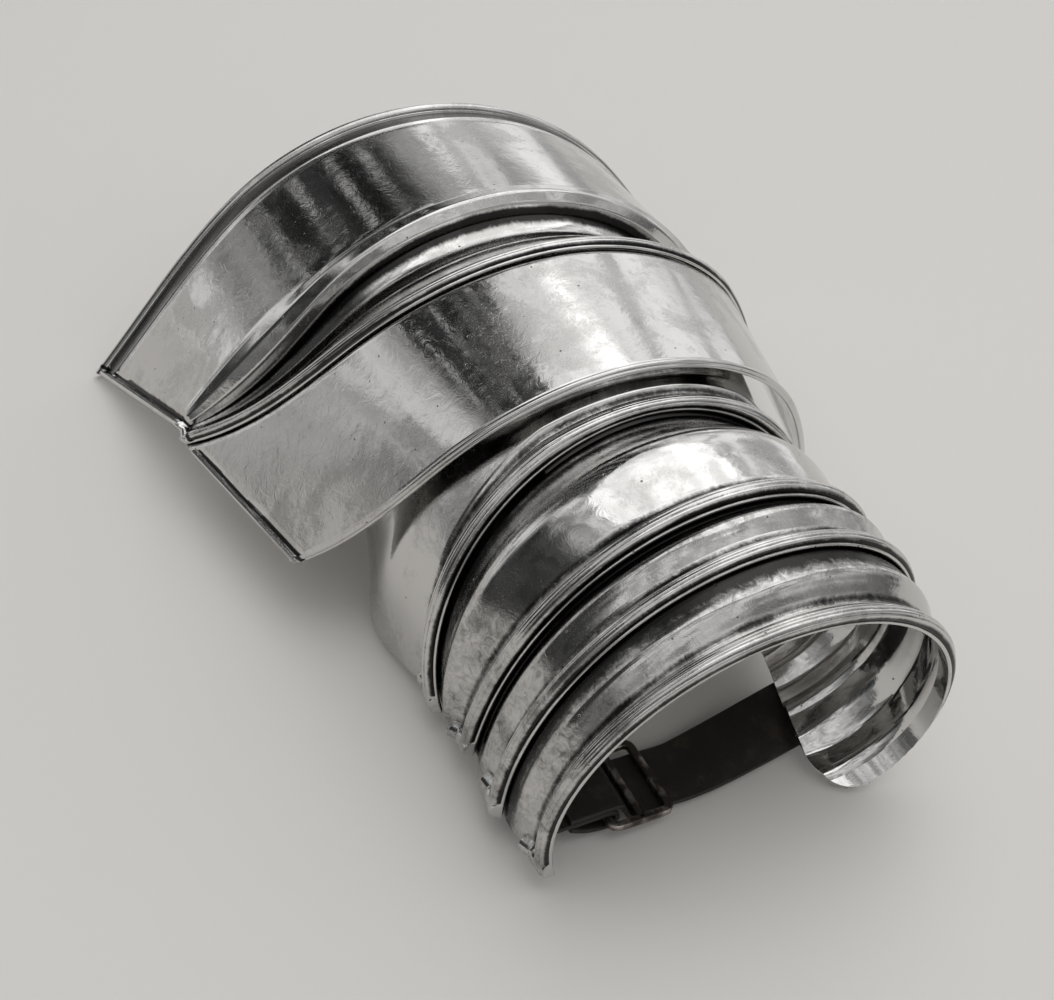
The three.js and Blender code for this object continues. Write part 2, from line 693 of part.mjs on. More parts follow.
addNode('neck_plate', plateGeometry.neck, plateSteel);
addNode('shoulder_plate', plateGeometry.shoulder, plateSteel);
addNode('arm_lame_1', plateGeometry.lame1, plateSteel);
addNode('arm_lame_2', plateGeometry.lame2, plateSteel);
addNode('arm_lame_3', cut(plateGeometry.lame3, backDrills), plateSteel);
addNode('arm_lame_4', cut(plateGeometry.lame4, frontDrills), plateSteel);
addNode('arm_strap', cut(band(strapStations(), strapWidth, strapSheet), backDrills), leather);
addNode('strap_chape', cut(band(chapeStations(), strapWidth, strapSheet), frontDrills), leather);
addNode('buckle_frame', buckleFrame(), buckleSteel);
const leatherSeat = strapSheet / 2 + strapClear;
backRivets.forEach((s, i) => {
  addNode(`back_rivet_${i + 1}`, rivet(s.steel, s.up, backOffset + leatherSeat), buckleSteel);
});
frontRivets.forEach((s, i) => {
  const inward = s.up.clone().negate();
  addNode(`front_rivet_${i + 1}`, rivet(s.steel, inward, frontOffset + leatherSeat), buckleSteel);
});

export default pauldron;
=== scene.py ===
"""Polished steel pauldron: winged shoulder plates, four lapped lames, a leather strap and a buckle."""

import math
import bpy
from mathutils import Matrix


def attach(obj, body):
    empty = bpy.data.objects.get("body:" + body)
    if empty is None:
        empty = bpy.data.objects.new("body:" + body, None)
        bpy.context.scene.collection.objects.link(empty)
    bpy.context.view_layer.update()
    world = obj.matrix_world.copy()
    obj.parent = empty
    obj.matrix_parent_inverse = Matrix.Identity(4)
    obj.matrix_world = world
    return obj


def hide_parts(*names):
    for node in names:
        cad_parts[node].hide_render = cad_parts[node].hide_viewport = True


bl_info = {
    "name": "Pauldron",
    "version": (1, 0, 0),
    "blender": (4, 5, 0),
    "location": "3D Viewport > Sidebar > Pauldron",
    "description": "Polished steel pauldron with lapped lames and a buckled leather strap",
    "category": "Add Mesh",
}

from functools import partial

import bpy
import numpy as np
from mathutils import Euler, Matrix, Vector

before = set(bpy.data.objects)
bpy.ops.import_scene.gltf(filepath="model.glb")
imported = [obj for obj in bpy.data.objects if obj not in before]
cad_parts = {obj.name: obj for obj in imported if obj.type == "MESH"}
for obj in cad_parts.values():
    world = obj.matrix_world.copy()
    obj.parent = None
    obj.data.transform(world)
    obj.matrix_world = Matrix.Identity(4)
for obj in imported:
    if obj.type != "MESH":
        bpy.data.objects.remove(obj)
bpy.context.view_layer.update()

MM = 0.001
BODY = "root"

# Ribs of the wings. along, crown, girth and sweep are shares of the overall sizes, turn is the angle
# that the arch turns through from crown to tip, and flare bends it back. Angles in degrees.
WING_RIBS = {
    "neck_rim": dict(along=0.000, crown=0.722, girth=0.498, turn=87, flare=36, lean=0.16, sweep=0.006),
    "ridge_foot": dict(along=0.261, crown=0.835, girth=0.429, turn=77, flare=23, lean=0.17, sweep=-0.011),
    "ridge_edge": dict(along=0.303, crown=0.824, girth=0.421, turn=98, flare=78, lean=0.06, sweep=-0.012),
    "ridge_bead": dict(along=0.442, crown=0.955, girth=0.456, turn=97, flare=49, lean=0.05, sweep=-0.130),
    "shoulder": dict(along=0.653, crown=0.965, girth=0.399, turn=102, flare=49, lean=0.03, sweep=-0.086),
}

# Ribs of the lames: turn on the front and the back side, hook and tilt shape the arch between
LAME_RIBS = {
    "waist": dict(along=0, crown=0, girth=0.460, side=0, front=102, back=146, hook=-14, tilt=-22,
                  lean=-0.36),
    "rim_1": dict(along=0.687, crown=0.895, girth=0.462, side=0, front=104, back=146, hook=-22, tilt=-22,
                  lean=0.38),
    "rim_2": dict(along=0.852, crown=0.967, girth=0.467, side=0.020, front=87, back=151, hook=3, tilt=-33,
                  lean=0.07),
    "rim_3": dict(along=0.923, crown=0.974, girth=0.487, side=0.037, front=93, back=166, hook=-10, tilt=-34,
                  lean=0.105),
    "rim_4": dict(along=0.997, crown=0.896, girth=0.474, side=0.060, front=109, back=185, hook=-42, tilt=-31,
                  lean=0.136),
}

# Cross-section of a lame between its laps: share of the way, height of the swell, reach of its ends
FIELD_SHARES = (0, 0.25, 0.5, 0.75, 1)
FIELD_SWELL = (0, 0.45, 1, 0.6, 0)
FIELD_REACH = (0, 0.8, 1, 0.7, 0)

# Cross-sections of the embossed ridge and of the valley beside it: share of the way, height
RIDGE_SECTION = ((0, 0.20, 0.24, 0.54, 0.58, 0.84, 1), (0, 0.70, 0.76, 0.99, 0.99, 0.70, 0))
VALLEY_SECTION = ((0, 0.12, 0.28, 0.5, 1), (0, -0.85, -1, -0.45, 0))
# Painted shade on the ridge's steep fall and at the foot of the valley beside it: share of the way, amount
RIDGE_SHADE = ((0.83, 0.91), (0, 1))
VALLEY_SHADE = ((0, 0.03, 0.09), (1, 1, 0))

# How dark a place is painted, 0 to 1: old polish and dirt, and also painted shade and painted dark
# reflections. More than 1 is an even film of old polish.
FILM = 1.5                       # in the neck border's groove
# Painted dark reflection on the front ends of lames two to four
FRONT_DARK_REFLECTION = 0.48               # in patches on the lames' front ends
# Darker in the hollow beside a lame's roll
HOLLOW_DARKENING = 0.75              # beside a lame's roll
# Painted shadow line on the shoulder plate just under the neck plate's bead
SHOULDER_SHADOW = 0.4             # along the neck plate's bead
SCORE_GRIME = 0.6                # in the lines scored along a bead

# Fine lines scored along a bead: places, width and depth as shares of its radius
SCORES = (0.55, 1.1, 1.6)
SCORE_WIDTH = 0.12
SCORE_DEPTH = 0.09
BEAD_SHADE = 0.35                # painted shade under a bead's outer side, as a share of its radius

# A line scored at the foot of a bead: place from the bead, width and depth in mm
SHOULDER_SCORE = (0.5, 0.25, 0.15)
LAME_SCORE = (0.9, 0.35, 0.2)

# Neck border past its roll, in mm: the groove's near wall, its depth in shares, and the raised line
GROOVE_WALL = ((0, 0.5, 1.0), (0, 0.2, 1))
RAISED_LINE = ((0.5, 0.75, 1.2, 1.6), (0.1, 0.3, 0.3, 0))

# Groove inside the bead of a wing's end edge, in mm: middle, half width, softness, half width of its dirt
END_GROOVE = (1.3, 1.1, 0.5, 0.9)

# Lames two to four: height of the swell in mm. The first one's waist swells inwards and reaches further
# round between its laps, as a share of its girth.
LAME_SWELLS = (5, 3.5, 2.5)
WAIST_SWELL = -1.5
WAIST_REACH = 0.08

# Shares round the arch where the leather is riveted and bends over the lames, and the buckle's place on
# the way from the back lames to the front ones
BACK_RIVETS = (0.875, 0.925)
FRONT_RIVETS = (-0.78, -0.85)
BACK_STATIONS = (0.84, 0.88, 0.92, 0.96, 0.99)
FRONT_STATIONS = (-0.74, -0.8, -0.86, -0.92)
LEATHER_END = 0.99
BUCKLE_SHARE = 0.65

ARCH_STEPS = 600
ARCH_REACH = 1.3                 # ribs are known this far past their tips
EDGE_SHARE = 0.45                # most of a plate's length that a rolled edge and its hollow take
LAP_ROWS = 10
FIELD_ROWS = 56
ROLL_ROWS = 34
HOLLOW_ROWS = 16
BORDER_ROWS = 34
NECK_FIELD_ROWS = 20
RIDGE_ROWS = 46
VALLEY_ROWS = 44
SHOULDER_EDGE_ROWS = 10
WING_COLUMNS = 184
LAME_COLUMNS = 210
END_COLUMNS = 15
PAST_END = (2.3, 2.7, 3.1, 3.6)  # further columns past an end bead, in its radii
STRAP_STATIONS = 150
CHAPE_STATIONS = 190
SHARP_PLATE = 50                 # degrees, past which an edge of the steel or of the fittings stays sharp
SHARP_FITTING = 40


def length_prop(label, default, note):
    """A size that a user may change, given here in mm."""
    return bpy.props.FloatProperty(name=label, description=note, default=default * MM, min=0,
                                   unit="LENGTH", precision=5)


def colour_prop(label, default, note):
    """A colour that a user may change, as an sRGB hex value."""
    return bpy.props.StringProperty(name=label, description=note, default=default)


class PlateSizes(bpy.types.PropertyGroup):
    """Sizes of the steel plates."""

    shoulder_length: length_prop("Length", 310, "Crown of the neck rim to the crown of the last rim")
    crown_height: length_prop("Crown", 140, "Highest crown above the axis that the ribs are drawn round")
    wing_girth: length_prop("Wing girth", 384, "Neck rim round the arch, from tip to tip")
    lame_girth: length_prop("Lame girth", 300, "Widest lame round the arch")
    sheet: length_prop("Sheet", 1.5, "Thickness of the steel")
    lap_gap: length_prop("Lap gap", 0.55, "Clearance between two lapped plates")
    lap_run: length_prop("Lap run", 2.2, "The lower plate keeps straight this far past the rim above")
    lap: length_prop("Lap", 14, "How far the first lame reaches up inside the shoulder plate")
    waist_setback: length_prop("Waist setback", 6, "First lame's waist to the shoulder plate's rim")
    waist_flank: length_prop("Waist flank", 12, "Extra swell of the first lame's front flank")
    neck_roll: length_prop("Neck roll", 2.1, "Radius of the bead on the neck border")
    wing_end_roll: length_prop("Wing end roll", 1.5, "Radius of the bead on the wings' end edges")
    ridge_roll: length_prop("Ridge roll", 2.4, "Radius of the bead that laps the shoulder plate")
    shoulder_roll: length_prop("Shoulder roll", 1.2, "Radius of the shoulder plate's bead")
    lame_roll: length_prop("Lame roll", 3.2, "Radius of a lame's bead")
    roll_return: length_prop("Roll return", 13, "How far a lame's bead runs up its end edge")
    back_corner: length_prop("Back corner", 16, "Radius of the last lame's back corner")
    hollow_width: length_prop("Hollow width", 5, "Hollow beside a lame's bead")
    hollow_depth: length_prop("Hollow depth", 0.7, "Depth of that hollow")
    groove_width: length_prop("Groove width", 6.6, "Width of the groove in the neck border")
    groove_depth: length_prop("Groove depth", 0.7, "Depth of that groove")
    # Painted shade: a lame's field is painted dark this far from under the roll above
    shade_reach: length_prop("Grime reach", 11, "Old polish reaches this far from under a roll")
    ridge_height: length_prop("Ridge height", 7, "Height of the embossed ridge")
    valley_depth: length_prop("Valley depth", 6, "Depth of the valley beside it")


class StrapSizes(bpy.types.PropertyGroup):
    """Sizes of the arm strap, its rivets and its buckle."""

    width: length_prop("Strap width", 24, "Width of the leather")
    thickness: length_prop("Strap thickness", 1.8, "Thickness of the leather")
    gap: length_prop("Gap", 0.45, "Leather to the buckle's bars")
    clear: length_prop("Clearance", 0.8, "Strap to the roll that it lies over")
    tail: length_prop("Tail", 15, "Free end past the buckle")
    chape_return: length_prop("Chape return", 14, "Folded end under the buckle")
    chape_clear: length_prop("Chape clearance", 1.7, "Chape to the inside of the fourth lame")
    rivet_head: length_prop("Rivet head", 3.6, "Radius of a rivet's head")
    rivet_crown: length_prop("Rivet crown", 1.3, "Height of a rivet's head")
    rivet_inset: length_prop("Rivet inset", 9.5, "Back rivets to the third lame's rim")
    buckle_length: length_prop("Buckle length", 25, "Along the strap")
    buckle_width: length_prop("Buckle width", 33, "Across the strap")
    buckle_bar: length_prop("Buckle bar", 3, "Width of the frame's bars")
    buckle_thickness: length_prop("Buckle thickness", 2.6, "Height of the frame's bars")
    buckle_corner: length_prop("Buckle corner", 4, "Outer radius of the frame's corners")
    buckle_lift: length_prop("Buckle lift", 6.4, "Bars above the surface that the part lies on")
    strap_bow: length_prop("Strap bow", 6, "How far the strap bows towards the elbow")


class FinishColours(bpy.types.PropertyGroup):
    """Colours of the finishes."""

    steel: colour_prop("Steel", "#d2d1cf", "Polished steel")
    stain: colour_prop("Stain", "#a19f9c", "Thin oxide film on the steel")
    # Besides old polish, this colour paints shade under the rolls, on the ridge and in the valley, and dark
    # reflections on the lames' fronts
    grime_and_shade: colour_prop("Grime", "#1d1b1b", "Old polish left in grooves and pits")
    leather: colour_prop("Leather", "#1d1815", "Waxed leather")
    leather_worn: colour_prop("Worn leather", "#3a302a", "Where the wax has rubbed off")
    buckle: colour_prop("Buckle", "#4c4643", "Darkened steel")
    buckle_worn: colour_prop("Worn buckle", "#a59d98", "Its edges, rubbed bright")
    floor: colour_prop("Floor", "#e8e5e1", "Studio floor")


class StageSizes(bpy.types.PropertyGroup):
    """Camera and light."""

    camera_place: bpy.props.FloatVectorProperty(
        name="Camera place", description="Where the camera stands", size=3, unit="LENGTH",
        default=(386.74 * MM, -225.73 * MM, 393.30 * MM))
    camera_turn: bpy.props.FloatVectorProperty(
        name="Camera turn", description="Its rotation", size=3, subtype="EULER",
        default=tuple(math.radians(a) for a in (49.614, -6.609, 66.477)))
    lens: bpy.props.FloatProperty(name="Lens", description="Focal length on a 36 mm sensor", default=50.2,
                                  unit="CAMERA")
    fill: bpy.props.FloatProperty(name="Fill", description="Strength of the studio's soft light",
                                  default=1.0)


def linear(hex_colour):
    """An sRGB hex value as linear RGBA."""
    parts = [int(hex_colour[i:i + 2], 16) / 255 for i in (1, 3, 5)]
    return (*[p / 12.92 if p <= 0.04045 else ((p + 0.055) / 1.055) ** 2.4 for p in parts], 1)


# ---- Plates ----

def walk_arch(angle_at, girth, shares):
    """Across and drop at each share of an arch whose tangent angle is given, from the crown outwards."""
    edges = np.linspace(-ARCH_REACH, ARCH_REACH, 2 * ARCH_STEPS + 1)
    turn = angle_at((edges[1:] + edges[:-1]) / 2)
    step = girth * (edges[1] - edges[0])
    lines = []
    for rate in (np.cos(turn), np.sin(turn)):
        line = np.concatenate(([0], np.cumsum(rate * step)))
        lines.append(np.interp(shares, edges, line - line[ARCH_STEPS]))
    return lines


def wing_rib(row, sizes):
    """A rib of the wings, as a function of the share round the arch."""
    def angle_at(t):
        s = np.abs(t)
        flare = row["flare"] * np.maximum(0, 2 * s - 1) ** 1.5
        return np.sign(t) * np.radians(row["turn"] * s - flare)

    def rib(t):
        across, drop = walk_arch(angle_at, row["girth"] * sizes.wing_girth, t)
        sweep = row["sweep"] * sizes.shoulder_length * np.abs(t) ** 3
        x = row["along"] * sizes.shoulder_length + row["lean"] * drop + sweep
        return np.stack([x, across, row["crown"] * sizes.crown_height - drop], -1)

    return rib


def lame_rib(row, sizes):
    """A rib of the lames, as a function of the share round the arch."""
    def angle_at(t):
        return np.radians(-row["front"] * (1 - t) / 2 + row["back"] * (1 + t) / 2
                          + row["hook"] * (t - t ** 3) + row["tilt"] * (1 - t * t))

    def rib(t):
        across, drop = walk_arch(angle_at, row["girth"] * sizes.lame_girth, t)
        x = row["along"] * sizes.shoulder_length + row["lean"] * drop
        y = row["side"] * sizes.lame_girth + across
        return np.stack([x, y, row["crown"] * sizes.crown_height - drop], -1)

    return rib


def smooth(x, xs, ys):
    """Smooth curve through a few chosen points."""
    x, xs, ys = (np.asarray(a, float) for a in (x, xs, ys))
    slopes = np.gradient(ys, xs)
    k = np.clip(np.searchsorted(xs, x, side="right") - 1, 0, len(xs) - 2)
    width = xs[k + 1] - xs[k]
    u = (x - xs[k]) / width
    rise = u * u * (3 - 2 * u)
    return ((1 - rise) * ys[k] + rise * ys[k + 1]
            + (u ** 3 - 2 * u ** 2 + u) * width * slopes[k] + (u ** 3 - u ** 2) * width * slopes[k + 1])


def half_round(distance, radius):
    """Height of a half-round bead at a distance from the edge."""
    return np.sqrt(np.maximum(0, radius ** 2 - (distance - radius) ** 2))


def scored(distance, at, width, depth):
    """A fine line scored into a profile."""
    return -depth * np.exp(-((distance - at) / width) ** 2)


def unit(vectors):
    """Vectors of length one."""
    return vectors / np.maximum(np.linalg.norm(vectors, axis=-1, keepdims=True), 1e-12)


def grid_normals(grid):
    """Outward normals of a grid of points."""
    return unit(np.cross(np.gradient(grid, axis=0), np.gradient(grid, axis=1)))


def column_shares(count, roll, half_girth):
    """Columns from the front tip, -1, to the back tip, 1, closer together in the end rolls."""
    swing = np.linspace(0, math.pi, END_COLUMNS)
    ends = np.concatenate([roll * (1 - np.cos(swing)), roll * np.array(PAST_END)]) / half_girth
    inner = np.linspace(-1 + ends[-1], 1 - ends[-1], count)[1:-1]
    return np.concatenate([ends - 1, inner, (1 - ends)[::-1]])


def roll_distances(roll):
    """Distances of the rows over a bead, closer together at its steep sides."""
    return roll * (1 - np.cos(np.linspace(0, math.pi, ROLL_ROWS)))


def sheet_row(at, lift=0, bead=0, dirt_and_shade=0):
    """One row of a plate: its place, its lift along the normal, its bead and how much dirt and painted shade
    it carries.
    """
    return dict(at=at, lift=lift, bead=bead, dirt_and_shade=dirt_and_shade)


def rolled_edge(a, b, distances, reach, bead=None, lift=None, dirt_and_shade=None):
    """Rows of a rolled edge at b, on a plate that runs on to a, from the edge inwards."""
    span = np.linalg.norm(a - b, axis=-1, keepdims=True)
    fit = np.minimum(1, EDGE_SHARE * span / reach)
    rows = []
    for distance in distances:
        place = b + (a - b) * distance * fit / span
        values = [np.asarray(f(distance) if f else 0) * fit[:, 0] for f in (lift, bead)]
        rows.append(sheet_row(place, values[0], values[1], dirt_and_shade(distance) if dirt_and_shade else 0))
    return rows


def drawn_back(line, from_rim, radius):
    """A row drawn back at its back end, so that the plate's corner is rounded."""
    back = radius - math.sqrt(radius ** 2 - (radius - from_rim) ** 2)
    along = np.concatenate([[0], np.cumsum(np.linalg.norm(np.diff(line, axis=0), axis=-1))])
    crown = along[len(line) // 2]
    share = np.maximum(0, (along - crown) / (along[-1] - crown))
    place = along - back * share ** 4
    return np.stack([np.interp(place, along, line[:, i]) for i in range(3)], -1)


class Sheet:
    """A plate's middle surface over a grid of rows, from its lapped edge to its rim, and columns."""

    def __init__(self, rows, columns, end_bead, sizes, corner=0):
        count = len(columns)
        self.sizes = sizes
        self.columns = columns
        base = np.array([row["at"] for row in rows])
        spread = {key: np.array([np.broadcast_to(row[key], count) for row in rows])
                  for key in ("lift", "bead", "dirt_and_shade")}
        self.middle = base + grid_normals(base) * spread["lift"][..., None]
        last = self.middle[:, -1]
        to_rim = np.concatenate([np.cumsum(np.linalg.norm(np.diff(last[::-1], axis=0), axis=-1))[::-1], [0]])
        for r in np.flatnonzero(to_rim < corner):
            self.middle[r] = drawn_back(self.middle[r], to_rim[r], corner)
        self.normals = grid_normals(self.middle)
        steps = np.linalg.norm(np.diff(self.middle, axis=0), axis=-1)
        self.rim = np.concatenate([np.cumsum(steps[::-1], axis=0)[::-1], np.zeros((1, count))])
        round_steps = np.linalg.norm(np.diff(self.middle, axis=1), axis=-1)
        from_front = np.concatenate([np.zeros((len(rows), 1)), np.cumsum(round_steps, axis=1)], axis=1)
        end = np.minimum(from_front, from_front[:, -1:] - from_front)
        # End edges carry groove dirt, and on the lames' front ends a painted dark reflection
        end_height, end_dirt_and_shade = end_bead(end, self.rim)
        groove = np.minimum(spread["bead"], np.minimum(end_height, 0))
        raised = np.maximum(spread["bead"], end_height)
        self.bead = np.where(raised > 0, raised, groove)
        self.dirt_and_shade = np.where(end_height > 0, end_dirt_and_shade, np.maximum(spread["dirt_and_shade"], end_dirt_and_shade))

    def under(self, rows_up):
        """Places inside this plate, for the rows of the plate that it laps, counted from its rim."""
        r = len(self.middle) - 1 - rows_up
        return self.middle[r] - self.normals[r] * (self.sizes.sheet + self.sizes.lap_gap)

    def past_rim(self):
        """The same just past the rim, where the next plate is free to bend away."""
        onward = unit(self.middle[-1] - self.middle[-3])
        return self.under(0) + onward * self.sizes.lap_run

    def lapped_rows(self, top):
        """Rows of the next plate from its hidden edge to where it bends away, painted dark as a shadow line
        under the rim above.
        """
        picks = np.unique(np.linspace(top, 0, LAP_ROWS).astype(int))[::-1]
        return [sheet_row(self.under(r), dirt_and_shade=1) for r in picks] + [sheet_row(self.past_rim(), dirt_and_shade=1)]

    def spot(self, distance, t):
        """Point and normal at a distance up from the rim and a share round the arch."""
        k = int(np.clip(np.searchsorted(self.columns, t, side="right") - 1, 0, len(self.columns) - 2))
        share = (t - self.columns[k]) / (self.columns[k + 1] - self.columns[k])
        found = []
        for grid in (self.middle, self.normals):
            pair = [np.array([np.interp(distance, self.rim[::-1, c], grid[::-1, c, i]) for i in range(3)])
                    for c in (k, k + 1)]
            found.append(pair[0] + (pair[1] - pair[0]) * share)
        return found[0], unit(found[1])

    def vertices(self):
        """Closed ring of rows: the outer face, a rounded rim and the inner face."""
        half = self.sizes.sheet / 2
        outer = self.middle + self.normals * (half + self.bead)[..., None]
        inner = self.middle - self.normals * half
        onward = unit(self.middle[-1] - self.middle[-3])
        cap = [self.middle[-1] + half * (math.cos(a) * self.normals[-1] + math.sin(a) * onward)
               for a in (math.pi / 4, math.pi / 2, 3 * math.pi / 4)]
        return np.concatenate([outer, np.array(cap), inner[::-1]])

    def shade_and_dirt(self):
        """How much dirt and painted shade each vertex of that ring carries."""
        blank = np.zeros((len(self.middle) + 3, len(self.columns)))
        return np.concatenate([self.dirt_and_shade, blank])


def neck_sheet(ribs, columns, s):
    """Neck plate: border roll, groove, raised line, field, ridge, valley and the rise to its bead."""
    names = ("neck_rim", "ridge_foot", "ridge_edge", "ridge_bead")
    neck, foot, edge, bead = (ribs[name](columns) for name in names)
    start = 2 * s.neck_roll
    wall, line = np.array(GROOVE_WALL), np.array(RAISED_LINE) * MM
    stops = start + wall[0] * MM
    far_side = stops[-1] + s.groove_width
    ends = far_side + line[0]
    profile = (np.concatenate([stops, [far_side], ends]),
               np.concatenate([-s.groove_depth * wall[1], [-s.groove_depth], line[1]]))
    reach = ends[-1]

    def border(distance):
        if distance <= start:
            return half_round(distance, s.neck_roll)
        return np.interp(distance, *profile)

    def border_dirt(distance):
        return FILM * (stops[1] < distance < ends[0])

    distances = np.concatenate([roll_distances(s.neck_roll), np.linspace(start, reach, BORDER_ROWS)[1:]])
    rows = rolled_edge(foot, neck, distances, reach, bead=border, dirt_and_shade=border_dirt)
    inner = rows[-1]["at"]
    rows += [sheet_row(inner + (foot - inner) * u) for u in np.linspace(0, 1, NECK_FIELD_ROWS)[1:]]
    taper = 1 - columns ** 4
    sharp = np.minimum(1, 4 * taper)
    for u in np.linspace(0, 1, RIDGE_ROWS)[1:]:
        lift = np.interp(u, *RIDGE_SECTION) * s.ridge_height * taper
        # Painted shade on the ridge's steep fall into the valley
        rows.append(sheet_row(foot + (edge - foot) * u, lift, dirt_and_shade=np.interp(u, *RIDGE_SHADE) * sharp))
    last = rolled_edge(edge, bead, roll_distances(s.ridge_roll), 2 * s.ridge_roll,
                       bead=lambda d: ribbed_bead(d, s.ridge_roll),
                       dirt_and_shade=lambda d: bead_dirt_and_shade(d, s.ridge_roll))[::-1]
    stop = last[0]["at"]
    share = np.linalg.norm(stop - edge, axis=-1) / np.linalg.norm(bead - edge, axis=-1)
    for u in np.linspace(0, 1, VALLEY_ROWS)[1:-1]:
        lift = smooth(u * share, *VALLEY_SECTION) * s.valley_depth * taper
        # Painted shade at the foot of the valley, next to the ridge
        shade_and_dirt = np.interp(u * share, *VALLEY_SHADE) * sharp
        rows.append(sheet_row(edge + (stop - edge) * u, lift, dirt_and_shade=shade_and_dirt))
    rows += last
    soften_lift(rows, len(columns))

    def end_border(end, _rim):
        return half_round(end, s.wing_end_roll) + end_groove(end, s), end_dirt(end, s)

    return Sheet(rows, columns, end_border, s)


def soften_lift(rows, count):
    """Rounds the creases of an embossed section a little."""
    lift = np.array([np.broadcast_to(row["lift"], count) for row in rows])
    soft = lift.copy()
    soft[1:-1] = (lift[:-2] + 2 * lift[1:-1] + lift[2:]) / 4
    for row, values in zip(rows, soft):
        row["lift"] = values


def end_groove(end, s):
    """Narrow groove inside the bead of an end edge."""
    middle, half, soft, _ = np.array(END_GROOVE) * MM
    depth = np.clip((half - np.abs(end - 2 * s.wing_end_roll - middle)) / soft, 0, 1)
    return -s.groove_depth * depth * (end > 2 * s.wing_end_roll)


def end_dirt(end, s):
    """Dirt in that groove."""
    middle, _, _, half = np.array(END_GROOVE) * MM
    return (np.abs(end - 2 * s.wing_end_roll - middle) < half).astype(float)


def bead_lines(distance, roll, depth):
    """The fine lines that a roller leaves along a bead."""
    return sum(scored(distance, at * roll, SCORE_WIDTH * roll, depth) for at in SCORES)


def ribbed_bead(distance, roll):
    """A bead with those lines, except at its very edges."""
    lines = bead_lines(distance, roll, SCORE_DEPTH * roll)
    return max(0, half_round(distance, roll) + (lines if 0.1 * roll < distance < 1.9 * roll else 0))


def bead_dirt_and_shade(distance, roll):
    """Dirt in those lines, and painted shade under the bead's outer side."""
    return min(1, -bead_lines(distance, roll, SCORE_GRIME) + max(0, 1 - distance / (BEAD_SHADE * roll)))


def shoulder_sheet(above, ribs, columns, s):
    """Shoulder plate: its upper edge lies under the neck plate's bead."""
    rows = above.lapped_rows(ROLL_ROWS - 1)
    lapped = len(rows)
    start = rows[-1]["at"]
    rim = ribs["shoulder"](columns)
    foot = 2 * s.shoulder_roll
    reach = foot + 2 * MM
    distances = np.concatenate([roll_distances(s.shoulder_roll),
                                np.linspace(foot, reach, SHOULDER_EDGE_ROWS)[1:]])
    at, width, depth = np.array(SHOULDER_SCORE) * MM

    def border(distance):
        return half_round(distance, s.shoulder_roll) + scored(distance, foot + at, width, depth)

    edge = rolled_edge(start, rim, distances, reach, bead=border)[::-1]
    stop = edge[0]["at"]
    rows += [sheet_row(start + (stop - start) * u) for u in np.linspace(0, 1, FIELD_ROWS)[1:-1]]
    rows += edge
    # Painted shadow line just under the neck plate's bead
    rows[lapped - 1]["dirt_and_shade"] = SHOULDER_SHADOW

    def end_border(end, _rim):
        free = (np.arange(len(end)) > lapped)[:, None]
        return (half_round(end, s.wing_end_roll) + end_groove(end, s)) * free, end_dirt(end, s) * free

    return Sheet(rows, columns, end_border, s)


def lame_sheet(rows, a, b, columns, swell, s, reach=0, flank=0, corner=0):
    """A lame: lapped rows, then its swelling field, hollow and rolled rim. a and b are its edges."""
    foot = 2 * s.lame_roll
    width = foot + s.hollow_width
    distances = np.concatenate([roll_distances(s.lame_roll), np.linspace(foot, width, HOLLOW_ROWS)[1:]])
    score = np.array(LAME_SCORE) * MM + (foot, 0, 0)

    def hollow(distance):
        return math.sin(math.pi * (distance - foot) / s.hollow_width) if distance > foot else 0

    def bead(distance):
        return ribbed_bead(distance, s.lame_roll) + (scored(distance, *score) if distance > foot else 0)

    # Dirt in the bead's lines, painted shade under its outer side, and darker in the hollow
    def grime_and_shade(distance):
        if distance < foot:
            return bead_dirt_and_shade(distance, s.lame_roll)
        return HOLLOW_DARKENING * max(0, hollow(distance)) ** 0.5

    # Painted dark reflection in patches on the front ends of lames two to four
    patches = FRONT_DARK_REFLECTION * np.clip((-0.3 - columns) / 0.3, 0, 1) * (flank == 0)

    edge = rolled_edge(a(columns), b(columns), distances, width, bead=bead,
                       lift=lambda d: -s.hollow_depth * hollow(d), dirt_and_shade=grime_and_shade)[::-1]
    for u in np.linspace(0, 1, FIELD_ROWS)[1:-1]:
        far = columns * (1 + reach * smooth(u, FIELD_SHARES, FIELD_REACH) * columns ** 2)
        stop = rolled_edge(a(far), b(far), (width,), width)[0]["at"]
        shape = smooth(u, FIELD_SHARES, FIELD_SWELL)
        lift = shape * (swell * (1 - 0.5 * columns ** 2) + flank * np.maximum(0, -columns) ** 4)
        # Painted shade on the field, darkest just under the roll above
        way = (stop - a(far)) * u
        shade_and_dirt = 1 - np.linalg.norm(way, axis=-1) / s.shade_reach
        rows.append(sheet_row(a(far) + way, lift, dirt_and_shade=np.maximum(0, shade_and_dirt)))
    rows += edge

    def end_return(end, rim):
        kept = rim < s.roll_return
        return half_round(end, s.lame_roll) * kept, patches * np.ones_like(end)

    return Sheet(rows, columns, end_return, s, corner)


def waist_sheet(above, ribs, columns, s):
    """First lame: a short waist that reaches up inside the shoulder plate."""
    inside = []
    for distance in (s.waist_setback, s.waist_setback + s.lap):
        point, normal = above.spot(distance, 0)
        inside.append(point - normal * (s.sheet + s.lap_gap))
    crown, step = inside[0], inside[1] - inside[0]

    def waist(t):
        return ribs["waist"](t) + crown

    rows = [sheet_row(waist(columns) + step * u) for u in np.linspace(1, 0, LAP_ROWS)]
    return lame_sheet(rows, waist, ribs["rim_1"], columns, WAIST_SWELL * MM, s, reach=WAIST_REACH,
                      flank=s.waist_flank)


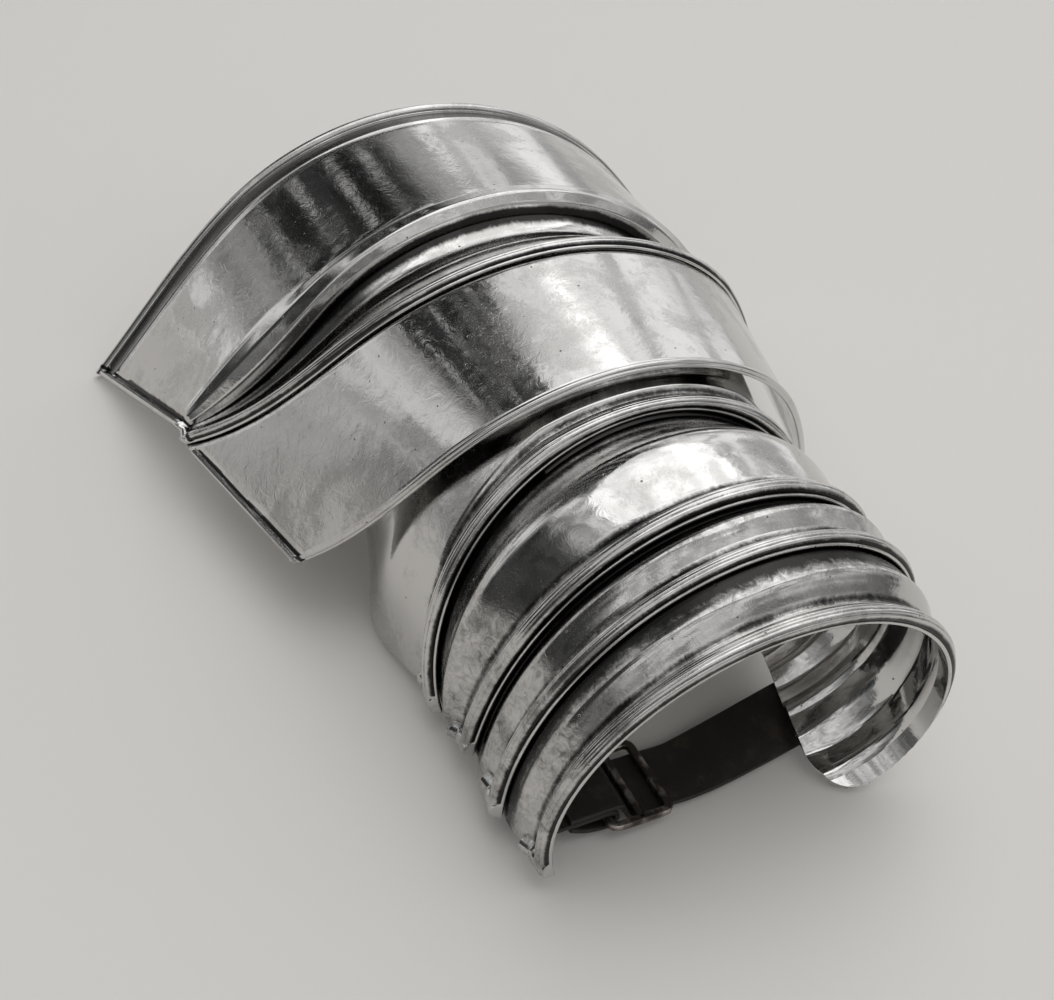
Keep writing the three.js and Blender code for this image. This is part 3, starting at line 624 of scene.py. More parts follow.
def lapped_sheet(above, rim, columns, swell, s, corner=0):
    """Further lames: the upper edge follows the inside of the lame above, as far as its hollow."""
    rows = above.lapped_rows(ROLL_ROWS + HOLLOW_ROWS - 3)
    start = rows[-1]["at"]
    return lame_sheet(rows, lambda t: start, rim, columns, swell, s, corner=corner)


made = {}
finishes = {}


def sheets(s):
    """All plates, worked out once, and the matrix that lays the part on its edges."""
    if made:
        return made
    ribs = {name: wing_rib(row, s) for name, row in WING_RIBS.items()}
    ribs.update({name: lame_rib(row, s) for name, row in LAME_RIBS.items()})
    wing = column_shares(WING_COLUMNS, s.wing_end_roll, s.wing_girth / 2)
    lame = column_shares(LAME_COLUMNS, s.lame_roll, s.lame_girth / 2)
    made["neck"] = neck_sheet(ribs, wing, s)
    made["shoulder"] = shoulder_sheet(made["neck"], ribs, wing, s)
    made["lame_1"] = waist_sheet(made["shoulder"], ribs, lame, s)
    for k, swell in enumerate(LAME_SWELLS, 2):
        above, rim = made[f"lame_{k - 1}"], ribs[f"rim_{k}"]
        made[f"lame_{k}"] = lapped_sheet(above, rim, lame, swell * MM, s, s.back_corner if k == 4 else 0)
    made["place"] = resting_place([made[k].vertices().reshape(-1, 3) for k in made])
    return made


def resting_place(clouds):
    """The matrix that lays the part on the wings' tips and the last lame, origin at the middle."""
    pitch = 0.0
    for _ in range(12):
        low = []
        for cloud in (clouds[0], clouds[-1]):
            height = cloud[:, 2] * math.cos(pitch) - cloud[:, 0] * math.sin(pitch)
            low.append(cloud[np.argmin(height)])
        pitch = math.atan2(low[1][2] - low[0][2], low[1][0] - low[0][0])
    turn = Matrix.Rotation(pitch, 4, "Y")
    points = np.concatenate(clouds) @ np.array(turn.to_3x3()).T
    low, high = points.min(0), points.max(0)
    centre = (low + high) / 2
    return Matrix.Translation((-centre[0], -centre[1], -low[2])) @ turn


# ---- Objects ----

def finished(obj, nodes):
    """The piece rides on the part's body and stands for its CAD nodes."""
    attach(obj, BODY)
    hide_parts(*nodes)
    return obj


def new_object(name, mesh):
    """An object at the origin, linked to the scene."""
    obj = bpy.data.objects.new(name, mesh)
    bpy.context.scene.collection.objects.link(obj)
    return obj


def plate_object(name, sheet, place, node, material):
    """A closed plate from a sheet's ring of rows."""
    ring = sheet.vertices()
    count, columns = ring.shape[:2]
    rows = len(sheet.middle)
    grid = np.arange(count * columns).reshape(count, columns)
    onward = np.roll(grid, -1, axis=0)
    faces = np.stack([grid[:, :-1], onward[:, :-1], onward[:, 1:], grid[:, 1:]], -1).reshape(-1, 4).tolist()
    for side, c in ((1, 0), (-1, columns - 1)):
        for r in range(rows - 1):
            quad = [grid[k, c] for k in (r + 1, r, count - 1 - r, count - 2 - r)]
            faces.append(quad[::side])
        faces.append([grid[k, c] for k in range(rows + 3, rows - 2, -1)][::side])
    mesh = bpy.data.meshes.new(name)
    mesh.from_pydata(ring.reshape(-1, 3).tolist(), [], faces)
    mesh.transform(place)
    # This mask paints dirt and old polish, and also painted shade and painted dark reflections, into the
    # steel's colour
    shade_and_dirt = mesh.attributes.new("dirt_and_shade", "FLOAT", "POINT")
    shade_and_dirt.data.foreach_set("value", sheet.shade_and_dirt().reshape(-1).astype(np.float32))
    mesh.shade_smooth()
    mesh.set_sharp_from_angle(angle=math.radians(SHARP_PLATE))
    mesh.materials.append(material)
    mesh.validate()
    return finished(new_object(name, mesh), (node,))


MATH, RANGE, MIX = "ShaderNodeMath", "ShaderNodeMapRange", "ShaderNodeMix"
NOISE, CELLS = "ShaderNodeTexNoise", "ShaderNodeTexVoronoi"
SMOOTH = {"interpolation_type": "SMOOTHSTEP"}


def add_node(tree, kind, inputs=(), **settings):
    """Adds a node, sets it up and links or fills its sockets. A node as a value gives its first output."""
    node = tree.nodes.new(kind)
    for key, value in settings.items():
        setattr(node, key, value)
    for key, value in inputs.items() if isinstance(inputs, dict) else enumerate(inputs):
        if isinstance(value, bpy.types.Node):
            value = value.outputs[0]
        if isinstance(value, bpy.types.NodeSocket):
            tree.links.new(value, node.inputs[key])
        else:
            node.inputs[key].default_value = value
    return node


def geometry_tree(name, **lengths):
    """A geometry tree with named lengths as its inputs: the tree, what adds to it and those inputs."""
    tree = bpy.data.node_groups.new(name, "GeometryNodeTree")
    tree.interface.new_socket("Geometry", in_out="INPUT", socket_type="NodeSocketGeometry")
    for label in lengths:
        socket = tree.interface.new_socket(label, in_out="INPUT", socket_type="NodeSocketFloat")
        socket.subtype = "DISTANCE"
        socket.default_value = lengths[label]
    tree.interface.new_socket("Geometry", in_out="OUTPUT", socket_type="NodeSocketGeometry")
    add = partial(add_node, tree)
    return tree, add, add("NodeGroupInput").outputs


def close_tree(tree, parts, material):
    """Joins the parts and ends the tree with realised instances and the material."""
    join = tree.nodes.new("GeometryNodeJoinGeometry")
    for part in parts:
        tree.links.new(part.outputs[0], join.inputs[0])
    real = add_node(tree, "GeometryNodeRealizeInstances", (join,))
    done = add_node(tree, "GeometryNodeSetMaterial", {"Geometry": real, "Material": material})
    add_node(tree, "NodeGroupOutput", (done,))


def grown(name, seed_mesh, tree, lengths, place=None):
    """A plain mesh object from a seed mesh and a geometry tree."""
    seed = new_object(name + "_seed", seed_mesh)
    modifier = seed.modifiers.new("shape", "NODES")
    modifier.node_group = tree
    for item in tree.interface.items_tree:
        if item.item_type == "SOCKET" and item.in_out == "INPUT" and item.name in lengths:
            modifier[item.identifier] = lengths[item.name]
    bpy.context.view_layer.update()
    graph = bpy.context.evaluated_depsgraph_get()
    mesh = bpy.data.meshes.new_from_object(seed.evaluated_get(graph))
    bpy.data.objects.remove(seed)
    mesh.name = name
    if place is not None:
        mesh.transform(place)
    mesh.shade_smooth()
    mesh.set_sharp_from_angle(angle=math.radians(SHARP_FITTING))
    return new_object(name, mesh)


def band_tree(material, width, thickness):
    """A rounded flat section swept along a path whose normals are stored with it."""
    tree, add, sizes = geometry_tree("leather_band", Width=width, Thickness=thickness, Step=0.8 * MM,
                                     Edge=0.55 * MM)
    path = add("GeometryNodeMeshToCurve", {"Mesh": sizes["Geometry"]})
    even = add("GeometryNodeResampleCurve", {"Curve": path, "Length": sizes["Step"]}, mode="LENGTH")
    up = add("GeometryNodeInputNamedAttribute", {"Name": "up"}, data_type="FLOAT_VECTOR")
    turned = add("GeometryNodeSetCurveNormal", {"Curve": even, "Normal": up}, mode="FREE")
    flat = add("GeometryNodeCurvePrimitiveQuadrilateral", {"Width": sizes["Thickness"],
                                                           "Height": sizes["Width"]})
    soft = add("GeometryNodeFilletCurve", {"Curve": flat, "Radius": sizes["Edge"], "Count": 4,
                                           "Limit Radius": True}, mode="POLY")
    swept = add("GeometryNodeCurveToMesh", {"Curve": turned, "Profile Curve": soft, "Fill Caps": True})
    close_tree(tree, [swept], material)
    return tree


def band_object(name, stations, material, s, node):
    """A leather band along stations of point and normal."""
    mesh = bpy.data.meshes.new(name + "_path")
    points = [p for p, _ in stations]
    mesh.from_pydata([tuple(p) for p in points], [(i, i + 1) for i in range(len(points) - 1)], [])
    up = mesh.attributes.new("up", "FLOAT_VECTOR", "POINT")
    up.data.foreach_set("vector", np.array([n for _, n in stations], np.float32).reshape(-1))
    tree = band_tree(material, s.width, s.thickness)
    obj = grown(name, mesh, tree, {"Width": s.width, "Thickness": s.thickness})
    return finished(obj, (node,))


class StrapRun:
    """Where the strap, its chape and its buckle lie."""

    def __init__(self, shapes, s, sheet):
        self.shapes = shapes
        self.s = s
        self.turn = np.array(shapes["place"].to_3x3())
        self.shift = np.array(shapes["place"].translation)
        self.back_offset = sheet / 2 + shapes["lame_3"].sizes.lame_roll + s.clear + s.thickness / 2
        self.front_offset = sheet / 2 + s.chape_clear + s.thickness / 2
        rim = shapes["lame_4"].rim[:, shapes["lame_4"].rim.shape[1] // 2]
        self.lap_middle = (rim[0] + rim[LAP_ROWS]) / 2
        back, front = self.back(LEATHER_END)[0], self.front(-LEATHER_END)[0]
        self.v = unit(np.array([*(back - front)[:2], 0]))
        self.u = np.cross(self.v, (0, 0, 1))
        self.centre = back + (front - back) * BUCKLE_SHARE + self.u * s.strap_bow
        self.centre[2] = s.buckle_lift
        self.bar = s.buckle_length / 2 - s.buckle_bar / 2
        self.loop = math.hypot(s.buckle_bar, s.buckle_thickness) / 2 + s.gap + s.thickness / 2
        self.low = -(s.buckle_thickness / 2 + s.gap + s.thickness / 2)
        self.high = self.loop + s.thickness + s.gap

    def placed(self, name, distance, t):
        """A point on a plate where the part lies, and the direction to the rim there."""
        point = self.turn @ self.shapes[name].spot(distance, t)[0] + self.shift
        rim = self.turn @ self.shapes[name].spot(0, t)[0] + self.shift
        return point, unit(rim - point)

    def band_spot(self, name, distance, t, offset):
        """Point of a band on a plate, its width's direction and its normal."""
        steel, to_rim = self.placed(name, distance, t)
        along = unit(self.placed(name, distance, t + 0.01)[0] - self.placed(name, distance, t - 0.01)[0])
        up = unit(np.cross(to_rim, along))
        return steel + up * offset, to_rim, up

    def back(self, t):
        """On the outside of the third lame's back end."""
        return self.band_spot("lame_3", self.s.rivet_inset, t, self.back_offset)

    def front(self, t):
        """On the inside of the fourth lame's front end."""
        return self.band_spot("lame_4", self.lap_middle, t, -self.front_offset)

    def at_buckle(self, v, w):
        """A point in the buckle's own frame."""
        return self.centre + self.v * v + np.array([0, 0, w])

    def flat(self, v, w):
        """A station of the band in that frame: its point and its width's direction."""
        return self.at_buckle(v, w), self.u


def smooth_path(stations, count):
    """More stations on a smooth path through a few, with normals square to it and to the width."""
    points = np.array([station[0] for station in stations])
    widths = np.array([station[1] for station in stations])
    chords = np.linalg.norm(np.diff(points, axis=0), axis=-1) ** 0.5
    at = np.concatenate([[0], np.cumsum(chords)])
    fine = np.linspace(0, at[-1], count)
    line = np.stack([smooth(fine, at, points[:, i]) for i in range(3)], -1)
    across = np.stack([np.interp(fine, at, widths[:, i]) for i in range(3)], -1)
    along = unit(np.gradient(line, axis=0))
    return list(zip(line, unit(np.cross(along, across))))


def strap_path(run):
    """From the back lames under two bars of the buckle and over the third."""
    s = run.s
    start, stop = -s.buckle_bar / 2, -(run.bar - run.loop)
    far = [run.back(t)[:2] for t in BACK_STATIONS]
    far += [run.flat(v, run.low) for v in (s.buckle_length, s.buckle_length / 2, s.buckle_bar)]
    climb = []
    for u in np.linspace(0, 1, 9)[1:-1]:
        rise = (run.high - run.low) * u * u * (3 - 2 * u)
        climb.append(run.flat(start + (stop - start) * u, run.low + rise))
    tail = [run.flat(-v, run.high) for v in (run.bar, run.bar + s.tail / 2, run.bar + s.tail)]
    return smooth_path(far + climb + tail, STRAP_STATIONS)


def chape_path(run):
    """From the front lame, round the buckle's near bar and back under itself."""
    s = run.s
    way = [run.front(t)[:2] for t in FRONT_STATIONS]
    way.append(run.flat(-(run.bar + s.tail * 1.5), run.loop + s.thickness))
    way += [run.flat(-(run.bar + s.tail * share), run.loop) for share in (1, 0.5)]
    fold = []
    for angle in np.linspace(math.pi / 2, -math.pi / 2, 19):
        out = run.v * math.cos(angle) + np.array([0, 0, math.sin(angle)])
        fold.append((run.at_buckle(-run.bar, 0) + run.loop * out, run.u))
    under = run.loop - s.thickness - s.gap
    back = []
    for share in (0.35, 0.7, 1):
        rise = (under + run.loop) * share * share
        back.append((run.at_buckle(-run.bar - s.chape_return * share, rise - run.loop), run.u))
    return smooth_path(way + fold + back, CHAPE_STATIONS)


def buckle_tree(material, s):
    """A rounded frame and a centre bar, each a soft-edged section along its path."""
    tree, add, sizes = geometry_tree("slide_frame", Length=s.buckle_length - s.buckle_bar,
                                     Width=s.buckle_width - s.buckle_bar, Bar=s.buckle_bar,
                                     Thickness=s.buckle_thickness, Corner=s.buckle_corner - s.buckle_bar / 2,
                                     Edge=0.8 * MM)
    section = add("GeometryNodeCurvePrimitiveQuadrilateral", {"Width": sizes["Bar"],
                                                              "Height": sizes["Thickness"]})
    soft = add("GeometryNodeFilletCurve", {"Curve": section, "Radius": sizes["Edge"], "Count": 4,
                                           "Limit Radius": True}, mode="POLY")
    outline = add("GeometryNodeCurvePrimitiveQuadrilateral", {"Width": sizes["Width"],
                                                              "Height": sizes["Length"]})
    rounded = add("GeometryNodeFilletCurve", {"Curve": outline, "Radius": sizes["Corner"], "Count": 8},
                  mode="POLY")
    ends = [add("ShaderNodeCombineXYZ", (add(MATH, (sizes["Width"], share), operation="MULTIPLY"),))
            for share in (-0.5, 0.5)]
    bar = add("GeometryNodeCurvePrimitiveLine", {"Start": ends[0], "End": ends[1]})
    parts = []
    for path in (bar, rounded):
        upright = add("GeometryNodeSetCurveNormal", {"Curve": path}, mode="Z_UP")
        parts.append(add("GeometryNodeCurveToMesh", {"Curve": upright, "Profile Curve": soft,
                                                     "Fill Caps": True}))
    close_tree(tree, parts, material)
    return tree


def rivet_tree(material, s):
    """A domed head and its shank at every seed point, turned to the seed's own direction."""
    tree, add, sizes = geometry_tree("rivets", Head=s.rivet_head, Crown=s.rivet_crown, Shank=1.7 * MM,
                                     Depth=4 * MM)
    dome = add("GeometryNodeMeshUVSphere", {"Segments": 40, "Rings": 24, "Radius": sizes["Head"]})
    flat = add(MATH, (sizes["Crown"], sizes["Head"]), operation="DIVIDE")
    squash = add("ShaderNodeCombineXYZ", (1, 1, flat))
    head = add("GeometryNodeTransform", {"Geometry": dome, "Scale": squash})
    shank = add("GeometryNodeMeshCylinder", {"Vertices": 24, "Radius": sizes["Shank"],
                                             "Depth": sizes["Depth"]})
    sink = add("ShaderNodeCombineXYZ", (0, 0, add(MATH, (sizes["Depth"], -0.5), operation="MULTIPLY")))
    sunk = add("GeometryNodeTransform", {"Geometry": shank, "Translation": sink})
    rivet = tree.nodes.new("GeometryNodeJoinGeometry")
    for part in (sunk, head):
        tree.links.new(part.outputs[0], rivet.inputs[0])
    out = add("GeometryNodeInputNamedAttribute", {"Name": "up"}, data_type="FLOAT_VECTOR")
    turn = add("FunctionNodeAlignRotationToVector", {"Vector": out}, axis="Z")
    placed = add("GeometryNodeInstanceOnPoints", {"Points": sizes["Geometry"], "Instance": rivet,
                                                  "Rotation": turn})
    close_tree(tree, [placed], material)
    return tree


# ---- Finishes ----

def new_material(name):
    """A material, what adds nodes to it and the object's coordinates in millimetres."""
    material = bpy.data.materials.new(name)
    material.use_nodes = True
    material.node_tree.nodes.clear()
    add = partial(add_node, material.node_tree)
    place = add("ShaderNodeTexCoord").outputs["Object"]
    return material, add, add("ShaderNodeVectorMath", {0: place, "Scale": 1 / MM}, operation="SCALE")


def close_material(add, **sockets):
    """The shader and the output end the material. Underscores stand for the blanks in sockets' names."""
    named = {key.replace("_", " "): value for key, value in sockets.items()}
    add("ShaderNodeOutputMaterial", {"Surface": add("ShaderNodeBsdfPrincipled", named)})


def polished_steel(colours):
    """Mild steel polished with fine grit and years of wax: bright, with frosty oxide in the low spots, and
    with shade and dark reflections painted in with the grime colour.
    """
    material, add, place = new_material("polished_steel")
    # A film of oxide in clouds of 34 mm, with edges feathered by 3 mm flecks
    broad = add(NOISE, {"Vector": place, "Scale": 1 / 34, "Detail": 4, "Roughness": 0.62,
                        "Distortion": 0.6})
    frost = add(NOISE, {"Vector": place, "Scale": 1 / 3.2, "Detail": 4, "Roughness": 0.75,
                        "Distortion": 1.1})
    flecks = add(MATH, (frost, 0.35, -0.175), operation="MULTIPLY_ADD")
    clouded = add(MATH, (broad, flecks), operation="ADD")
    film = add(RANGE, (clouded, 0.5, 0.62, 0, 1), **SMOOTH)
    # Old polish settles in the recesses, and painted shade and painted dark reflections darken other places,
    # all with an uneven edge
    dirt_and_shade = add("ShaderNodeAttribute", attribute_name="dirt_and_shade").outputs["Fac"]
    drift = add(NOISE, {"Vector": place, "Scale": 1 / 15, "Detail": 3})
    uneven = add(MATH, (drift, 0.7, -0.65), operation="MULTIPLY_ADD")
    uneven = add(MATH, (frost, 0.6, uneven), operation="MULTIPLY_ADD")
    settled_and_shaded = add(MATH, (dirt_and_shade, uneven), operation="ADD")
    settled_and_shaded = add(RANGE, (settled_and_shaded, 0.3, 0.85, 0, 1), **SMOOTH)
    cover = add(RANGE, (dirt_and_shade, 1.1, 1.4, 0.96, 0.7), **SMOOTH)
    settled_and_shaded = add(MATH, (settled_and_shaded, cover), operation="MULTIPLY")
    # Dull specks in the film, and pits every 7 mm or so
    specks = add(NOISE, {"Vector": place, "Scale": 1 / 0.8, "Detail": 1})
    specks = add(RANGE, (specks, 0.56, 0.64, 0, 1), **SMOOTH)
    specks = add(MATH, (specks, film), operation="MULTIPLY")
    pits = add(CELLS, {"Vector": place, "Scale": 1 / 7, "Randomness": 1})
    pits = add(RANGE, (pits, 0.035, 0.07, 1, 0), **SMOOTH)
    # Rubbing marks in two directions. Real ones are finer, too fine to show in the picture.
    rubs = []
    for turn, stretch in ((0.5, (0.03, 2.4, 2.4)), (-1.0, (2.2, 0.04, 2.2))):
        line = add("ShaderNodeMapping", {"Vector": place, "Rotation": (0.4, turn, turn), "Scale": stretch})
        rub = add(NOISE, {"Vector": line, "Scale": 1, "Detail": 2})
        rubs.append(add(RANGE, (rub, 0.70, 0.76, 0, 1), **SMOOTH))
    rubbed = add(MATH, rubs, operation="MAXIMUM")
    stain = add(MATH, (film, 0.4), operation="MULTIPLY")
    stained = add(MIX, {"Factor": stain, "A": linear(colours.steel), "B": linear(colours.stain)},
                  data_type="RGBA").outputs[2]
    # Painted shade, painted dark reflections, old polish and pits all take the grime colour
    dirty_and_shaded = add(MATH, (settled_and_shaded, add(MATH, (pits, 0.7), operation="MULTIPLY")), operation="MAXIMUM")
    colour = add(MIX, {"Factor": dirty_and_shaded, "A": stained, "B": linear(colours.grime_and_shade)},
                 data_type="RGBA").outputs[2]
    rough = add(RANGE, (clouded, 0.42, 0.66, 0.085, 0.2), **SMOOTH)
    for layer, amount in ((rubbed, 0.1), (dirty_and_shaded, 0.15), (specks, 0.12)):
        rough = add(MATH, (layer, amount, rough), operation="MULTIPLY_ADD")
    # Heights in mm: hammer marks 22 mm apart under the polish, a 5 mm ripple, rubbing marks and pits
    hammer = add(NOISE, {"Vector": place, "Scale": 1 / 22, "Detail": 2})
    ripple = add(NOISE, {"Vector": place, "Scale": 1 / 5, "Detail": 3, "Roughness": 0.62,
                         "Distortion": 1.4})
    height = 0
    for layer, amount in ((hammer, 0.16), (ripple, 0.05), (rubbed, -0.006), (pits, -0.08)):
        height = add(MATH, (layer, amount, height), operation="MULTIPLY_ADD")
    bump = add("ShaderNodeBump", {"Height": height, "Strength": 1, "Distance": MM})
    close_material(add, Base_Color=colour, Metallic=1, Roughness=rough, Normal=bump)
    return material


def waxed_leather(colours):
    """Vegetable-tanned cowhide, waxed nearly black: close pebble grain and a dull sheen."""
    material, add, place = new_material("waxed_leather")
    # Pebbles of 0.7 mm, creases of 2.5 mm and wear in patches of 9 mm
    grain = add(CELLS, {"Vector": place, "Scale": 1 / 0.7, "Randomness": 1}, feature="SMOOTH_F1")
    wear = add(NOISE, {"Vector": place, "Scale": 1 / 9, "Detail": 6, "Roughness": 0.7})
    worn = add(RANGE, (wear, 0.52, 0.7))
    colour = add(MIX, {"Factor": worn, "A": linear(colours.leather), "B": linear(colours.leather_worn)},
                 data_type="RGBA").outputs[2]
    rough = add(RANGE, (wear, 0.3, 0.7, 0.42, 0.62))
    crease = add(NOISE, {"Vector": place, "Scale": 1 / 2.5, "Detail": 5})
    height = add(MATH, (grain, 0.12, crease), operation="MULTIPLY_ADD")
    bump = add("ShaderNodeBump", {"Height": height, "Strength": 0.5, "Distance": 0.4 * MM})
    close_material(add, Base_Color=colour, Roughness=rough, Normal=bump)
    return material


def darkened_steel(colours):
    """Cast and blackened steel, rubbed bright where the leather and fingers pass."""
    material, add, place = new_material("darkened_steel")
    wear = add(NOISE, {"Vector": place, "Scale": 1 / 6, "Detail": 3, "Roughness": 0.5})
    worn = add(RANGE, (wear, 0.45, 0.62))
    colour = add(MIX, {"Factor": worn, "A": linear(colours.buckle), "B": linear(colours.buckle_worn)},
                 data_type="RGBA").outputs[2]
    rough = add(RANGE, (wear, 0.4, 0.65, 0.45, 0.24))
    bump = add("ShaderNodeBump", {"Height": wear, "Strength": 0.15, "Distance": 0.15 * MM})
    close_material(add, Base_Color=colour, Metallic=0.9, Roughness=rough, Normal=bump)
    return material


def studio_floor(colours):
    """Matt painted board, with the faint unevenness that a roller leaves."""
    material, add, place = new_material("studio_floor")
    grain = add(NOISE, {"Vector": place, "Scale": 1 / 2, "Detail": 3})
    bump = add("ShaderNodeBump", {"Height": grain, "Strength": 0.1, "Distance": 0.1 * MM})
    close_material(add, Base_Color=linear(colours.floor), Roughness=0.6, Normal=bump)
    return material


FINISHES = {"steel": polished_steel, "leather": waxed_leather, "buckle": darkened_steel,
            "floor": studio_floor}


def finish(kind):
    """One of the finishes, made the first time that it is asked for."""
    if kind not in finishes:
        finishes[kind] = FINISHES[kind](bpy.context.scene.pauldron_colours)
    return finishes[kind]


# ---- Stage ----

FLOOR_REACH = 6.0
FLOOR_GAP = 0.3 * MM             # keeps the floor clear of what rests on it

# Softboxes: name, place in metres, size in metres, power in watts, what it is aimed at
SOFTBOXES = (
    ("overhead_softbox", (-0.3, 0.3, 2.4), (2.8, 2.8), 20, (0, 0, 0)),
)

# Cards on the studio's walls: bearing and height of the middle in degrees, half sizes, soft edge, shade.
# Bearings count from behind the neck border. The last two are black flags with small lamps before them.
CARDS = (
    (0, 90, 180, 31, 6, 0.82),       # ceiling
    (180, -6, 80, 20, 10, 0.25),     # dark side before the elbow
    (-44, 24, 36, 46, 6, 1.15),      # window wall
    (45, 12, 26, 26, 7, 0.85),       # pale wall
    (88, 6, 26, 36, 8, 0.08),        # doorway
    (17, 43, 34, 14, 6, 0.04),       # high flag
    (11, 27, 19, 23, 5, 0.035),      # wide flag
)
FLAGS = 2
BACKDROP = "#cbcac8"             # plain wall behind the floor, as the camera sees it
HORIZON = (-10, 40, 0.45, 0.9)   # the bare walls' shade: from one height in degrees to another
LAMP_SPACING = (9, 5.5)          # degrees between the lamps, across and up
LAMP_SHADE = 0.6
CLOUDS = (4.6, 0.65)             # size of the unevenness in the walls' light, and its strength


def studio_world(strength):
    """Soft studio walls, with pale and dark cards for the polished steel to reflect."""
    world = bpy.data.worlds.new("studio")
    world.use_nodes = True
    world.node_tree.nodes.clear()
    add = partial(add_node, world.node_tree)
    place = add("ShaderNodeTexCoord").outputs["Generated"]
    axes = add("ShaderNodeSeparateXYZ", (place,)).outputs
    bearing = add(MATH, [add(MATH, (axes[k], -1), operation="MULTIPLY") for k in "YX"], operation="ARCTAN2")
    bearing = add(MATH, (bearing,), operation="DEGREES")
    folded = add(MATH, (bearing,), operation="ABSOLUTE")
    height = add(MATH, (add(MATH, (axes["Z"],), operation="ARCSINE"),), operation="DEGREES")
    shade = add(RANGE, (height, *HORIZON), **SMOOTH)
    flagged = 0
    for k, (at, up, wide, tall, soft, value) in enumerate(CARDS):
        past_seam = abs(at) + wide + soft > 180      # such a card is the same on both sides of the seam
        cover = []
        for angle, middle, half in ((folded if past_seam else bearing, at, wide), (height, up, tall)):
            off = add(MATH, (angle, middle), operation="SUBTRACT")
            off = add(MATH, (off,), operation="ABSOLUTE")
            cover.append(add(RANGE, (off, half - soft, half + soft, 1, 0), **SMOOTH))
        cover = add(MATH, cover, operation="MULTIPLY")
        shade = add(MIX, {"Factor": cover, "A": shade, "B": value})
        if k >= len(CARDS) - FLAGS:
            flagged = add(MATH, (flagged, cover), operation="MAXIMUM")
    cloud = add(NOISE, {"Vector": place, "Scale": CLOUDS[0], "Detail": 2, "Distortion": 1.4})
    cloud = add(RANGE, (cloud, 0.35, 0.65, 1 - CLOUDS[1], 1), **SMOOTH)
    shade = add(MATH, (shade, cloud), operation="MULTIPLY")
    lamps = flagged
    for angle, spacing in zip((bearing, height), LAMP_SPACING):
        wave = add(MATH, (angle, 2 * math.pi / spacing), operation="MULTIPLY")
        wave = add(RANGE, (add(MATH, (wave,), operation="COSINE"), 0.1, 1, 0, 1), **SMOOTH)
        lamps = add(MATH, (lamps, wave), operation="MULTIPLY")
    shade = add(MATH, (lamps, LAMP_SHADE, shade), operation="MULTIPLY_ADD")
    walls = add("ShaderNodeBackground", (shade, strength))
    plain = add("ShaderNodeBackground", (linear(BACKDROP),))
    seen = add("ShaderNodeLightPath").outputs["Is Camera Ray"]
    both = add("ShaderNodeMixShader", (seen, walls, plain))
    add("ShaderNodeOutputWorld", {"Surface": both})
    return world


# ---- Operators ----

def run_plate(context, name, node):
    """Makes one plate."""
    shapes = sheets(context.scene.pauldron_plates)
    plate_object(node + "_steel", shapes[name], shapes["place"], node, finish("steel"))
    return {"FINISHED"}


class PAULDRON_OT_neck_plate(bpy.types.Operator):
    """Make the neck plate with its border, ridge and valley"""

    bl_idname = "pauldron.neck_plate"
    bl_label = "Neck plate"

    def execute(self, context):
        return run_plate(context, "neck", "neck_plate")


class PAULDRON_OT_shoulder_plate(bpy.types.Operator):
    """Make the long plain shoulder plate"""

    bl_idname = "pauldron.shoulder_plate"
    bl_label = "Shoulder plate"

    def execute(self, context):
        return run_plate(context, "shoulder", "shoulder_plate")


class PAULDRON_OT_arm_lames(bpy.types.Operator):
    """Make the four lames over the upper arm"""

    bl_idname = "pauldron.arm_lames"
    bl_label = "Arm lames"

    def execute(self, context):
        for k in range(1, 5):
            run_plate(context, f"lame_{k}", f"arm_lame_{k}")
        return {"FINISHED"}


def strap_run(context):
    """The strap's run on the finished plates."""
    plates = context.scene.pauldron_plates
    return StrapRun(sheets(plates), context.scene.pauldron_strap, plates.sheet)


class PAULDRON_OT_arm_strap(bpy.types.Operator):
    """Make the leather strap and its chape"""

    bl_idname = "pauldron.arm_strap"
    bl_label = "Arm strap"

    def execute(self, context):
        run = strap_run(context)
        band_object("arm_strap_leather", strap_path(run), finish("leather"), run.s, "arm_strap")
        band_object("strap_chape_leather", chape_path(run), finish("leather"), run.s, "strap_chape")
        return {"FINISHED"}


class PAULDRON_OT_buckle(bpy.types.Operator):
    """Make the slide buckle"""

    bl_idname = "pauldron.buckle"
    bl_label = "Buckle"

    def execute(self, context):
        run = strap_run(context)
        seed = bpy.data.meshes.new("buckle_seed")
        seed.from_pydata([(0, 0, 0)], [], [])
        rows = [[*axis, 0] for axis in zip(run.u, run.v, (0, 0, 1))]
        for row, value in zip(rows, run.centre):
            row[3] = value
        place = Matrix(rows + [[0, 0, 0, 1]])
        obj = grown("buckle_frame_steel", seed, buckle_tree(finish("buckle"), run.s), {}, place)
        finished(obj, ("buckle_frame",))
        return {"FINISHED"}


class PAULDRON_OT_rivets(bpy.types.Operator):
    """Make the rivets that hold the leather"""

    bl_idname = "pauldron.rivets"
    bl_label = "Rivets"

    def execute(self, context):
        run = strap_run(context)
        s = run.s
        seat = s.thickness / 2 + s.clear
        places, ups = [], []
        for shares, spot, side in ((BACK_RIVETS, run.back, 1), (FRONT_RIVETS, run.front, -1)):
            for t in shares:
                point, _, up = spot(t)
                places.append(point + side * up * seat)
                ups.append(side * up)
        seed = bpy.data.meshes.new("rivet_seeds")
        seed.from_pydata([tuple(p) for p in places], [], [])
        out = seed.attributes.new("up", "FLOAT_VECTOR", "POINT")
        out.data.foreach_set("vector", np.array(ups, np.float32).reshape(-1))
        obj = grown("strap_rivets", seed, rivet_tree(finish("buckle"), s), {})
        finished(obj, ("back_rivet_1", "back_rivet_2", "front_rivet_1", "front_rivet_2"))
        return {"FINISHED"}


